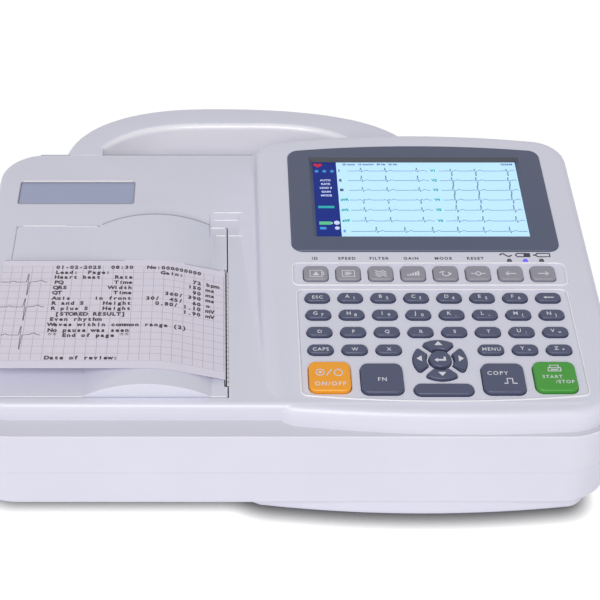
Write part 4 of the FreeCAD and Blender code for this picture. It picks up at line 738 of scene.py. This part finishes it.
# %% Panel labels
LABELS = ["ID", "SPEED", "FILTER", "GAIN", "MODE", "RESET"]
LABEL_V, LABEL_SIZE = 93.5, 2.6
PICTURE_V, PICTURE_LINE = 96.0, 0.85
MAINS_U, CHARGING_U, BATTERY_U = 39.4, 48.2, 58.2
MAINS = [(-3.0 + i * 0.3, 0.95 * math.sin(i * math.pi / 10)) for i in range(21)]
CELL = [(-2.9, -1.2), (3.2, -1.2), (3.2, 1.2), (-2.9, 1.2), (-3.9, 0)]
bm = bmesh.new()
for column, label in enumerate(LABELS):
    lay(bm, words(label, LABEL_SIZE, spacing=1.3), on_panel(column_u(column), LABEL_V, 0))
draw(bm, MAINS, PICTURE_LINE, on_panel(MAINS_U, PICTURE_V, 0))
for u in (CHARGING_U, BATTERY_U):
    draw(bm, CELL, PICTURE_LINE, on_panel(u, PICTURE_V, 0), closed=True)
lay(bm, solid(corners(0.2, 3.2, -1.2, 1.2)), on_panel(CHARGING_U, PICTURE_V, 0))
draw(bm, [(-5.2, 0), (-3.9, 0)], PICTURE_LINE, on_panel(BATTERY_U, PICTURE_V, 0))
fit("panel_labels", bm, "top_housing", "dark_ink")
print("labels over", len(LABELS), "keys and three lights")

# %% Status lights
LIT_X = PANEL_MIDDLE + 48.8 * MM
LIT_REACH = 3 * MM


def pipe_plastic(name, colour, shade, glow):
    """Acrylic light pipe: smooth, slightly cloudy, with its own glow when lit."""
    material = moulded(name, colour, shade, 0.2, FINE_GRAIN, LIFT / 4)
    light = {"Emission Color": srgb(colour), "Emission Strength": glow}
    plug(material.node_tree.nodes["Principled BSDF"], light)
    return material


DARK_PIPE = pipe_plastic("acrylic_pipe_off", "4C4C58", "444450", 0.0)
LIT_PIPE = pipe_plastic("acrylic_pipe_lit", "6A5CF0", "5F52E4", 0.3)
bm = welded("status_leds")
for face in bm.faces:
    face.material_index = int(abs(face.calc_center_median().x - LIT_X) < LIT_REACH)
lights = piece("status_leds_skin", bm, "case", "light_pipe", [DARK_PIPE, LIT_PIPE], "status_leds")
ease(lights, FITTING_ROUND)
print("one light lit of three")

# %% [markdown]
# ## Beads and rims
# The keys sit in two shallow pockets, and a fine bead stands up along the rim of each. It stiffens
# the panel and hides the moulded edge; its lighter plastic is a painted highlight round the keys.
# A flattened round stroke along the pocket's outline is just that: half of it sinks in the panel.
# The rim of the bare plate, the rims of the paper door and the bead over its hinge are made alike.

# %% Beads
POCKETS = ((67.4, 74.6, 90.3, 0), (66.0, 1.8, 71.4, 3.4))
BEAD = 1.2
BEAD_R = 3.2
BEAD_HEIGHT = Matrix.Diagonal((1, 1, 0.7, 1))


def round_corners(half, low, high, radius, count):
    """Corners of a rounded rectangle, as points, from the upper right one on."""
    reach, top, foot = half - radius, high - radius, low + radius
    middles = ((reach, top), (-reach, top), (-reach, foot), (reach, foot))
    return [round_points(radius, count, at, 90 * i, 90) for i, at in enumerate(middles)]


def pocket_outline(half, low, high, sag):
    """A rounded rectangle whose lower side sags in the middle."""
    first, second, third, last = round_corners(half, low, high, BEAD_R, 6)
    reach = half - BEAD_R
    side = [(reach * i / 8, low - sag * (1 - (i / 8) ** 2)) for i in range(-7, 8)]
    return first + second + third + side + last


bm = bmesh.new()
for pocket in POCKETS:
    lay(bm, stroke(pocket_outline(*pocket), BEAD, True), on_panel(0, 0, 0) @ BEAD_HEIGHT)
# Lighter plastic on the beads: a painted highlight along each rim
fit("pocket_beads", bm, "top_housing", "painted_highlight_abs")
print("beads round", len(POCKETS), "pockets")

# %% Rim of the bare plate
plate_low, plate_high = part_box("name_plate")
PLATE_MIDDLE = (plate_low + plate_high) / 2
PLATE_HALF = (plate_high - plate_low) / 2 / MM
PLATE_R = 1.2
PLATE_EDGE = 0.6
PLATE_LIP = 1.5
rim = sum(round_corners(PLATE_HALF.x, -PLATE_HALF.y, PLATE_HALF.y, PLATE_R, 5), [])
half_u = PLATE_HALF.x - PLATE_R
bm = bmesh.new()
rim_at = Matrix.Translation((PLATE_MIDDLE.x, PLATE_MIDDLE.y, DECK)) @ Matrix.Scale(MM, 4)
lay(bm, stroke(rim, PLATE_EDGE, True), rim_at @ BEAD_HEIGHT)
# The lip along the upper edge is in the lighter plastic: a painted highlight on the recess's edge
lip = [(-half_u, PLATE_HALF.y + PLATE_LIP / 2), (half_u, PLATE_HALF.y + PLATE_LIP / 2)]
lay(bm, stroke(lip, PLATE_LIP), rim_at @ BEAD_HEIGHT, 1)
fit("plate_rim", bm, "top_housing", "key_grey", "painted_highlight_abs")
print("rim round a plate of", [round(2 * half, 1) for half in PLATE_HALF[:2]], "mm")

# %% Rims of the paper door
door_low, door_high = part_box("paper_door")
DOOR_LEFT, DOOR_RIGHT = door_low.x / MM, door_high.x / MM
DOOR_FRONT, DOOR_REAR = door_low.y / MM, door_high.y / MM
DECK_MM = DECK / MM
RIM_FRONT, RIM_REAR = DOOR_FRONT + 0.45, DOOR_REAR + 0.35
RIM_LEFT, RIM_RIGHT = DOOR_LEFT + 4.0, DOOR_RIGHT - 0.8
FRONT_WIDTH, REAR_WIDTH = 0.9, 1.6
BRIGHT_END = -112.0
BRIGHT_RISE, DULL_RISE = 0.33, 0.05
BULGE_LEFT = -95.6
FLAT_RIM = Matrix.Diagonal((1, 1, 0.35, 1))


def level_at(y, z):
    """Matrix for a level drawing in millimetres, moved to y and z."""
    return Matrix.Scale(MM, 4) @ Matrix.Translation((0, y, z))


bm = bmesh.new()
# Front rim, and the rear rim up to BRIGHT_END, in the lighter plastic: painted highlights on the
# edges
for start, end, y, width, rise, finish in (
    (RIM_LEFT, RIM_RIGHT, RIM_FRONT, FRONT_WIDTH, 0, 0),
    (RIM_LEFT, BRIGHT_END, RIM_REAR, REAR_WIDTH, BRIGHT_RISE, 0),
    (BRIGHT_END, BULGE_LEFT, RIM_REAR, REAR_WIDTH, DULL_RISE, 1),
):
    lay(bm, stroke([(start, 0), (end, 0)], width), level_at(y, DECK_MM + rise) @ FLAT_RIM, finish)
fit("door_rims", bm, "paper_door", "painted_highlight_abs", "case_abs")
print("rims on the door, from", round(RIM_LEFT, 1), "to", round(RIM_RIGHT, 1), "mm")

# %% Bead over the hinge
HINGE_BEAD = 0.7
HINGE_GAP = 1.1
HINGE_SINK = 0.02
SEAM_X = DOOR_LEFT + 0.6
SEAM_FRONT, SEAM_REAR = DOOR_FRONT - 0.4, DOOR_REAR + 0.6
SEAM_END = RIM_LEFT - 0.2
bm = bmesh.new()
seam_at = level_at(0, DECK_MM - HINGE_SINK) @ BEAD_HEIGHT
lay(bm, stroke([(SEAM_X, SEAM_FRONT), (SEAM_X, SEAM_REAR)], HINGE_BEAD), seam_at)
lay(bm, stroke([(SEAM_X, SEAM_REAR), (SEAM_END, SEAM_REAR)], HINGE_GAP), seam_at @ FLAT_RIM)
fit("hinge_bead", bm, "top_housing", "case_abs")
print("bead over", round(SEAM_REAR - SEAM_FRONT, 1), "mm of hinge")

# %% [markdown]
# ## Finger scoop and painted shadow lines
# A shallow scoop at the rear right corner of the door lets a fingertip under its edge. Four small
# grip ribs cross it: two on the deck, one on the rear edge of the door and one that the slot cuts
# in two; their lighter plastic is a painted highlight. Along the rear of the bulge lies a grey
# stroke of painted shadow, where the bulge meets the deck behind it, and a second one lies along
# the rear edge of the deck, painted shadow of the gap beyond it. All of them are strokes laid
# along the shape that carries them.

# %% Finger scoop
SCOOP_MIDDLE = FRONT / MM + 144.75
SCOOP_FRONT = SCOOP_MIDDLE - 10.0
SCOOP_DEPTH = 1.2
SCOOP_R = 44.37
RIB = 0.95
# Ribs from x to x, at a depth y
DECK_RIBS = (
    (-35.2, -20.2, SCOOP_MIDDLE + 10.2), (-35.2, -22.6, SCOOP_MIDDLE + 4.8),
    (-27.6, -20.6, SCOOP_FRONT),
)
DOOR_RIBS = ((-37.2, RIM_RIGHT, RIM_REAR), (-33.8, RIM_RIGHT, SCOOP_FRONT))


def scoop_height(y):
    """Height of the scoop's floor at y, in millimetres."""
    return DECK_MM - SCOOP_DEPTH + SCOOP_R - math.sqrt(SCOOP_R ** 2 - (y - SCOOP_MIDDLE) ** 2)


def grip_ribs(name, node, ribs):
    """Ribs across the scoop, riding with a node."""
    bm = bmesh.new()
    for start, end, y in ribs:
        rib_at = level_at(y, scoop_height(y)) @ BEAD_HEIGHT
        lay(bm, stroke([(start, 0), (end, 0)], RIB), rib_at)
    # Ribs in the lighter plastic: painted highlights across the scoop
    fit(name, bm, node, "painted_highlight_abs")


grip_ribs("scoop_deck_ribs", "top_housing", DECK_RIBS)
grip_ribs("scoop_door_ribs", "paper_door", DOOR_RIBS)
print("ribs across a scoop", SCOOP_DEPTH, "mm deep")

# %% Painted shadow lines behind the bulge and the deck
BULGE_SHADOW_WIDTH, BULGE_SHADOW_GAP = 0.75, 0.1
ARCH_MIDDLE = (-65.6, 17.684)
ARCH_R = 59.316
ARCH_START, ARCH_SWEEP = 61.5, 56.0
REAR_SHADOW_WIDTH = 0.6
REAR_Y, REAR_Z = 79.6, 68.45
REAR_SPAN = [(-131.0, 0), (-14.0, 0)]
arch = round_points(ARCH_R, 16, ARCH_MIDDLE, ARCH_START, ARCH_SWEEP)
upright = Matrix.Rotation(math.pi / 2, 4, "X")
bm = bmesh.new()
# Grey stroke along the rear of the bulge: painted shadow where the bulge meets the deck behind it
lay(bm, stroke(arch, BULGE_SHADOW_WIDTH), level_at(DOOR_REAR + BULGE_SHADOW_GAP, 0) @ upright)
fit("bulge_painted_shadow", bm, "paper_door", "chassis_abs")
bm = bmesh.new()
# Grey stroke along the rear edge of the deck: painted shadow of the gap beyond it
lay(bm, stroke(REAR_SPAN, REAR_SHADOW_WIDTH), level_at(REAR_Y, REAR_Z))
fit("deck_rear_painted_shadow", bm, "top_housing", "chassis_abs")
print("seal over", round(arch[0][0] - arch[-1][0], 1), "mm of the bulge")

# %% [markdown]
# ## Face of the patient socket
# The socket for the patient cable has an insulating face inside its steel shell, with two rows of
# contacts. The shell is a solid in the frame, so its face is drawn on it: a thin black D and
# fifteen small discs, eight above and seven below, at the usual pitch of about 2.8 mm.

# %% Patient socket
CONTACT_PITCH = 2.77
CONTACT_ROW = 1.42
CONTACT_R = 0.6
D_FACE = [(-11.7, -3.3), (11.7, -3.3), (12.5, 3.3), (-12.5, 3.3)]
port_low, port_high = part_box("patient_port")
port_middle = (port_low + port_high) / 2
face_x = port_high.x + INK / 2 * MM
on_port = Matrix((
    (0, 0, 1, face_x), (1, 0, 0, port_middle.y), (0, 1, 0, port_middle.z), (0, 0, 0, 1),
)) @ Matrix.Scale(MM, 4)
on_face = on_port @ Matrix.Translation((0, 0, INK))
bm = bmesh.new()
lay(bm, solid(D_FACE), on_port)
for count, v in ((8, CONTACT_ROW), (7, -CONTACT_ROW)):
    for i in range(count):
        u = (i - (count - 1) / 2) * CONTACT_PITCH
        lay(bm, solid(round_points(CONTACT_R, 10, (u, v))), on_face, 1)
fit("patient_port_face", bm, "patient_port", "connector_black", "brass")
print("patient socket with 15 contacts")

# %% [markdown]
# ## Display
# The display is a liquid crystal panel behind glass, lit from the back: pale blue field, dark blue
# side bar and thin traces. Its own light adds to the light it reflects, so every colour on it gets
# a little emission. The picture is drawn in flat pieces on the glass, a few hundredths thick.

# %% Display finishes
def lit_colour(name, colour, shade, glow=0.35):
    """A colour of the lit picture: faint backlight mottle under glass with an anti-glare coat."""
    coat = {"Roughness": 0.25, "Specular IOR Level": 0.12}
    backlight = {"Emission Color": srgb(colour), "Emission Strength": glow}
    return printed(name, colour, shade, coat | backlight)


FINISH["display_glass"] = moulded("LCD_glass", "2B2F3A", "262A34", 0.2, lift=LIFT / 4)
PICTURE = [
    lit_colour("LCD_field", "B8E0FB", "B1DAF6", 0.4),
    lit_colour("LCD_side_bar", "1A3290", "172C84", 0.1),
    lit_colour("LCD_trace", "3A5068", "35495F", 0.05),
    lit_colour("LCD_teal", "2FA6A8", "2B9C9E"),
    lit_colour("LCD_red", "CC2F40", "C2283A", 0.2),
    lit_colour("LCD_green", "5CBD8C", "55B384"),
    lit_colour("LCD_pale", "C9D4F5", "C0CCEE"),
    lit_colour("LCD_blue", "4C9CE6", "4694DC", 0.25),
    lit_colour("LCD_black", "232A3C", "1F2636", 0.02),
]
FIELD, SIDE_BAR, TRACE, TEAL, RED, GREEN, PALE, BLUE, BLACK = range(len(PICTURE))
dress("lcd_panel")
# Upper wall of the bezel behind the glass: matt and dark, painted shade over the top of the picture
BEZEL_WALL_V = 160 * MM
WALL_LEAN = -0.2
bezel = bpy.data.objects["display_bezel_skin"]
bezel.data.materials.append(moulded("ABS_bezel_painted_shade", "2C303C", "272B36", 0.6))
for face in bezel.data.polygons:
    if face.normal.y < WALL_LEAN and (PANEL.inverted() @ face.center).y > BEZEL_WALL_V:
        face.material_index = 1
print("display colours:", len(PICTURE))

# %% Traces of the display
SCREEN_LEFT, SCREEN_RIGHT = -54.0, 54.0
SCREEN_LOW, SCREEN_HIGH = 111.0, 169.9
BAR_RIGHT = -41.4
GLASS = -1.2
HAIR = 0.32
NAME_SIZE, NAME_RISE, NAME_WEIGHT = 2.5, 0.2, 0.06
NOTE_SIZE, NOTE_DEPTH = 1.9, 1.7
LEFT_NAME_U, RIGHT_NAME_U = -40.4, 8.4
LEFT_RUN, RIGHT_RUN, LONG_RUN = (-35.6, 7.0), (12.6, 53.2), (-36.6, 53.2)
LEFT_BEATS = (-28.5, -15.6, 1.2)
RIGHT_BEATS = (19.1, 31.9, 48.8)
LONG_BEATS = (-23.5, -8.9, 5.2, 18.0, 31.2, 44.4)
ROW_DEPTHS = (7.1, 15.0, 22.8, 30.6, 38.6, 47.0)
LONG_DEPTH = 55.0
LEFT_NAMES = ("I", "II", "III", "aVR", "aVL", "aVF")
# Rise and fall of the spike in each row
LEFT_SPIKES = ((2.6, 0.8), (4.0, 0.9), (2.4, 1.0), (-2.8, -0.7), (2.2, 1.2), (3.0, 0.8))
RIGHT_SPIKES = ((1.6, 4.0), (2.6, 4.2), (3.6, 3.4), (4.4, 2.6), (4.2, 1.6), (3.6, 1.0))
LONG_SPIKE = (3.4, 0.9)


def heartbeat(start, end, beats, up, down):
    """One lead's trace: a low rise, a sharp spike and a rounded rise for each beat."""
    beat = [
        (-2.6, 0), (-2.0, 0.45), (-1.4, 0), (-0.5, 0), (-0.1, up), (0.1, up), (0.3, -down),
        (0.5, -down), (0.8, 0), (2.0, 0.1), (3.0, 0.9), (3.9, 0.2), (4.4, 0),
    ]
    points = [(u + du, dv) for u in beats for du, dv in beat]
    return [(start, 0), *(p for p in points if start <= p[0] <= end), (end, 0)]


def below_top(u, depth):
    """Matrix for a drawing on the picture, at a depth below its upper edge."""
    return on_panel(u, SCREEN_HIGH - depth, GLASS + INK)


def lead(bm, name, name_u, colour, depth, run, beats, spike):
    """One lead of the picture: its name and its trace."""
    draw(bm, heartbeat(*run, beats, *spike), HAIR, below_top(0, depth), TRACE)
    drawing = words(name, NAME_SIZE, "LEFT", weight=NAME_WEIGHT)
    lay(bm, drawing, below_top(name_u, depth - NAME_RISE), colour)


bm = bmesh.new()
for row, depth in enumerate(ROW_DEPTHS):
    colour = TEAL if row > 2 else BLACK
    lead(bm, LEFT_NAMES[row], LEFT_NAME_U, colour, depth, LEFT_RUN, LEFT_BEATS, LEFT_SPIKES[row])
    lead(bm, f"V{row + 1}", RIGHT_NAME_U, TEAL, depth, RIGHT_RUN, RIGHT_BEATS, RIGHT_SPIKES[row])
lead(bm, "II", LEFT_NAME_U, BLUE, LONG_DEPTH, LONG_RUN, LONG_BEATS, LONG_SPIKE)
for text, u, align in (
    ("25 mm/s   10 mm/mV   50 Hz   35 Hz", -38, "LEFT"), ("10:24:36", 52.6, "RIGHT"),
):
    lay(bm, words(text, NOTE_SIZE, align), below_top(u, NOTE_DEPTH), SIDE_BAR)
print("traces:", 2 * len(ROW_DEPTHS) + 1)

# %% Field and side bar of the display
BAR_MIDDLE = (SCREEN_LEFT + BAR_RIGHT) / 2
BAR_SIZE = 2.0
BAR_WORDS = (("AUTO", 14.8), ("RATE", 17.8), ("LEAD II", 20.9), ("GAIN", 24.0), ("MODE", 27.0))
# Badges: left, right, low and high from the picture's upper edge, and their colour
BADGES = (
    (-52.4, -44.0, -37.0, -35.2, TEAL), (-52.4, -46.2, -49.8, -47.4, GREEN),
    (-46.2, -45.6, -49.2, -48.0, PALE), (-52.2, -49.0, -53.4, -51.6, BLUE),
)
DOT_U, DOTS = -43.4, ((48.3, 1.5), (52.4, 1.2))
STAR_DEPTH, STAR_US = 7.3, (-52.0, -47.9, -43.8)
STAR = [round_points(reach, 10, start=90)[i] for i, reach in enumerate([1.5, 0.65] * 5)]
HEART_U, HEART_DEPTH = -51.2, 2.4
HEART_WIDE, HEART_TALL = 0.15, 0.12


def heart_point(a):
    """A point on the outline of a heart."""
    rise = 13 * math.cos(a) - 5 * math.cos(2 * a) - 2 * math.cos(3 * a) - math.cos(4 * a)
    return 16 * math.sin(a) ** 3 * HEART_WIDE, rise * HEART_TALL


for left, right, colour in ((BAR_RIGHT, SCREEN_RIGHT, FIELD), (SCREEN_LEFT, BAR_RIGHT, SIDE_BAR)):
    ground = solid(corners(left, right, SCREEN_LOW, SCREEN_HIGH))
    lay(bm, ground, on_panel(0, 0, GLASS), colour)
heart = [heart_point(math.radians(15 * i)) for i in range(24)]
lay(bm, solid(heart), below_top(HEART_U, HEART_DEPTH), RED)
for u in STAR_US:
    lay(bm, solid(STAR), below_top(u, STAR_DEPTH), BLUE)
for text, depth in BAR_WORDS:
    lay(bm, words(text, BAR_SIZE), below_top(BAR_MIDDLE, depth), PALE)
for left, right, low, high, colour in BADGES:
    lay(bm, solid(corners(left, right, low, high)), below_top(0, 0), colour)
for depth, radius in DOTS:
    lay(bm, solid(round_points(radius)), below_top(DOT_U, depth), PALE)
piece("display_picture", bm, "case", "display_glass", PICTURE)
print("picture laid on the glass")

# %% [markdown]
# ## Chart paper
# Thermal chart paper is 80 mm wide and comes with a pink grid: fine lines every millimetre,
# stronger ones every five, and a bare margin at both edges. The strip is made as it runs: an edge
# is pushed along the flat, swung over the bulge of the door, pushed on, swung down into the slot
# and pushed to the roller. Its UV map is the paper laid flat, in metres, so the grid bends too.

# %% Paper finish
GRID_FINE, FINE_LINE = 1 * MM, 0.16 * MM
GRID_BOLD, BOLD_LINE = 5 * MM, 0.3 * MM
GRID_START, GRID_END = 5 * MM, 75 * MM


def ruled(tree, along, pitch, width):
    """1 on lines across the given coordinate, 0 between them."""
    off = add(tree, "Math", {0: along, 1: pitch / 2}, operation="PINGPONG")
    on = add(tree, "Math", {0: off.outputs[0], 1: width / 2}, operation="LESS_THAN")
    return on.outputs[0]


def bare_paper(name):
    """Coated thermal paper: matt, faintly fibrous white."""
    return printed(name, "EBE7F6", "E5E1F0", {"Roughness": 0.8})


FINISH["paper"] = bare_paper("thermal_paper")
chart = bare_paper("thermal_paper_ruled")
tree = chart.node_tree
shader = tree.nodes["Principled BSDF"]
ground = shader.inputs["Base Color"].links[0].from_socket
flat = add(tree, "UVMap", {}, uv_map="flat")
split = add(tree, "SeparateXYZ", {"Vector": flat.outputs[0]})
across, along = split.outputs[0], split.outputs[1]
after = add(tree, "Math", {0: across, 1: GRID_START}, operation="GREATER_THAN")
before = add(tree, "Math", {0: across, 1: GRID_END}, operation="LESS_THAN")
inside = add(tree, "Math", {0: after.outputs[0], 1: before.outputs[0]}, operation="MULTIPLY")
for pitch, width, ink, strength in (
    (GRID_FINE, FINE_LINE, "C4A4B6", 0.18), (GRID_BOLD, BOLD_LINE, "A992A4", 0.55),
):
    lines = add(
        tree, "Math",
        {0: ruled(tree, across, pitch, width), 1: ruled(tree, along, pitch, width)},
        operation="MAXIMUM",
    )
    shown = add(tree, "Math", {0: lines.outputs[0], 1: inside.outputs[0]}, operation="MULTIPLY")
    faint = add(tree, "Math", {0: shown.outputs[0], 1: strength}, operation="MULTIPLY")
    mixed = add(tree, "Mix", {0: faint.outputs[0], 6: ground, 7: srgb(ink)}, data_type="RGBA")
    ground = mixed.outputs[2]
plug(shader, {"Base Color": ground})
dress("paper_roll")
print("grid", GRID_FINE / MM, "and", GRID_BOLD / MM, "mm")

# %% Run of the strip
PAPER_T = 0.2 * MM
JOIN = 0.001 * MM
PAPER_Y0 = FRONT + 23.5 * MM
PAPER_Y1 = FRONT + 103.5 * MM
PAPER_END = -139.5 * MM
BULGE = Vector((-65.6, 0, 17.684)) * MM
BULGE_R = 59.716 * MM
TURN = Vector((-30.5, 0, 69.3)) * MM
TURN_R = 1.1 * MM
NECK = Vector((-29.4, 0, 66.0)) * MM
NIP = Vector((-29.7, 0, 58.5)) * MM
reach = TURN - BULGE
NORMAL = math.atan2(reach.z, reach.x) + math.acos((BULGE_R - TURN_R) / reach.length)
SWING = math.pi / 2 - NORMAL
PUSH = Vector((math.cos(NORMAL), 0, math.sin(NORMAL)))
bm = bmesh.new()
start = [bm.verts.new((PAPER_END, y, BULGE.z + BULGE_R)) for y in (PAPER_Y0, PAPER_Y1)]
edge = bm.edges.new(start)


def push_to(edge, target):
    """Extrude the edge so that it ends over target, and return the new edge."""
    grown = bmesh.ops.extrude_edge_only(bm, edges=[edge])["geom"]
    points = [item for item in grown if isinstance(item, bmesh.types.BMVert)]
    step = Vector((target.x - points[0].co.x, 0, target.z - points[0].co.z))
    bmesh.ops.translate(bm, verts=points, vec=step)
    return next(
        item for item in grown
        if isinstance(item, bmesh.types.BMEdge) and set(item.verts) == set(points)
    )


def swing(edge, centre, angle, steps):
    """Spin the edge round a line across the paper, and return the last edge."""
    spun = bmesh.ops.spin(
        bm, geom=[edge, *edge.verts], cent=centre, axis=(0, 1, 0), angle=angle, steps=steps,
    )
    return next(item for item in spun["geom_last"] if isinstance(item, bmesh.types.BMEdge))


edge = push_to(edge, BULGE + Vector((0, 0, BULGE_R)))
edge = swing(edge, BULGE, SWING, 12)
edge = push_to(edge, TURN + PUSH * TURN_R)
edge = swing(edge, TURN, NORMAL, 10)
edge = push_to(edge, NECK)
edge = push_to(edge, NIP)
bmesh.ops.remove_doubles(bm, verts=bm.verts, dist=JOIN)
run = [vert.co for vert in bm.verts if vert.co.y < PAPER_Y0 + MM]
over = sorted((co for co in run if co.z >= TURN.z), key=lambda co: (round(co.x, 6), -co.z))
down = sorted((co for co in run if co.z < TURN.z), key=lambda co: -co.z)
PATH = [Vector((co.x, 0, co.z)) for co in over + down]
LENGTHS = [0.0]
for first, second in zip(PATH, PATH[1:]):
    LENGTHS.append(LENGTHS[-1] + (second - first).length)
print("strip", round(LENGTHS[-1] / MM, 2), "mm long in", len(bm.faces), "faces")

# %% The strip, laid flat in its UV map
flat_map = bm.loops.layers.uv.new("flat")
for face in bm.faces:
    face.smooth = False
    for loop in face.loops:
        spot = Vector((loop.vert.co.x, 0, loop.vert.co.z))
        nearest = min(range(len(PATH)), key=lambda i: (PATH[i] - spot).length)
        loop[flat_map].uv = (loop.vert.co.y - PAPER_Y0, LENGTHS[nearest])
bmesh.ops.recalc_face_normals(bm, faces=bm.faces)
if bm.faces[0].normal.z < 0:
    bmesh.ops.reverse_faces(bm, faces=bm.faces)
strip = piece("chart_strip", bm, "door", "paper", [chart], "paper_strip")
thicken = strip.modifiers.new("paper_thickness", "SOLIDIFY")
thicken.thickness = PAPER_T
thicken.offset = 0.0
print("strip laid over the door")

# %% [markdown]
# ## Print on the strip
# A thermal head darkens the paper dot by dot, so the print has no thickness to speak of. Words and
# traces are made flat in the paper's own millimetres, from its left end and its front edge. Then
# every point is carried along the run of the strip, so that the words bend over the door.

# %% Print tools
HEAD_INK = printed("thermal_print", "3E3742", "37303B", MATT)


def on_strip(s, y, lift):
    """Place at s along and y across the strip, in millimetres, lifted off its face."""
    reach = s * MM
    i = max(k for k in range(len(PATH) - 1) if LENGTHS[k] <= reach)
    way = (PATH[i + 1] - PATH[i]).normalized()
    out = Vector((-way.z, 0, way.x))
    spot = PATH[i] + way * (reach - LENGTHS[i]) + out * (PAPER_T / 2 + lift * MM)
    return Vector((spot.x, PAPER_Y0 + y * MM, spot.z))


def print_on_strip(bm, curve, s=0.0, y=0.0, squash=1.0):
    """Carry a flat drawing onto the strip, moved by s along and y across."""
    drawing = bmesh.new()
    lay(drawing, curve, Matrix.Translation((s, y, 0)))
    for vert in drawing.verts:
        vert.co = on_strip(vert.co.x, vert.co.y, (vert.co.z + INK) * squash)
    mesh = bpy.data.meshes.new("print")
    drawing.to_mesh(mesh)
    drawing.free()
    bm.from_mesh(mesh)
    bpy.data.meshes.remove(mesh)


print("strip face from", tuple(round(c, 4) for c in on_strip(0, 0, 0)))

# %% Words and traces on the strip
TEXT = 3.4
TYPE_PITCH = 2.26
HEAVY = 0.05
MARGIN = 26.4
TRACE_LEVELS, TRACE_LINE = (62.5, 43.5, 22.9), 0.4
EDGE_Y, EDGE_LINE = 79.7, 0.25
EDGE_SPANS, EDGE_STEPS = ((0.4, 60.0), (90.0, 108.0)), 24
REPORT = [
    (74.0, "01-02-2025  08:30   No:000000000"),
    (70.0, "Lead:  Page:           Gain:"),
    (66.3, "Heart beat   Rate             72 bpm"),
    (62.2, "PQ           Time            150 ms"),
    (58.1, "QRS         Width             90 ms"),
    (54.2, "QT           Time       360/ 390 ms"),
    (50.0, "Axis     in front   30/  45/  60 o"),
    (46.3, "R and S    Height     0.80/ 1.10 mV"),
    (42.3, "R plus S   Height           1.90 mV"),
    (38.1, " [STORED RESULT]"),
    (34.3, "Even rhythm"),
    (30.4, "Waves within common range (2)"),
    (26.3, "No pause was seen"),
    (22.6, "** End of page **"),
    (6.8, "Date of review:"),
]
BEAT = [
    (0.4, 0), (5.0, 0), (6.6, 0.9), (8.2, 0), (12.9, 0), (13.5, 6.3), (13.7, 6.3), (13.9, -10),
    (14.1, -10), (14.6, 0), (18.0, 0.4), (20.0, 1.6), (21.6, 0.3), (23.1, 0),
]
bm = bmesh.new()
for y, line in REPORT:
    for column, letter in enumerate(line):
        if letter != " ":
            s = MARGIN + TYPE_PITCH * (column + 0.5)
            print_on_strip(bm, words(letter, TEXT, weight=HEAVY), s, y)
for level in TRACE_LEVELS:
    beat = [(s, level + rise) for s, rise in BEAT]
    print_on_strip(bm, stroke(beat, TRACE_LINE), squash=SQUASH)
for start, end in EDGE_SPANS:
    step = (end - start) / EDGE_STEPS
    edge_line = [(start + step * i, EDGE_Y) for i in range(EDGE_STEPS + 1)]
    print_on_strip(bm, stroke(edge_line, EDGE_LINE), squash=SQUASH)
strip_print = piece("chart_print", bm, "door", "paper", [HEAD_INK])
print("printed", len(REPORT), "rows, three traces and the line at the rear edge")
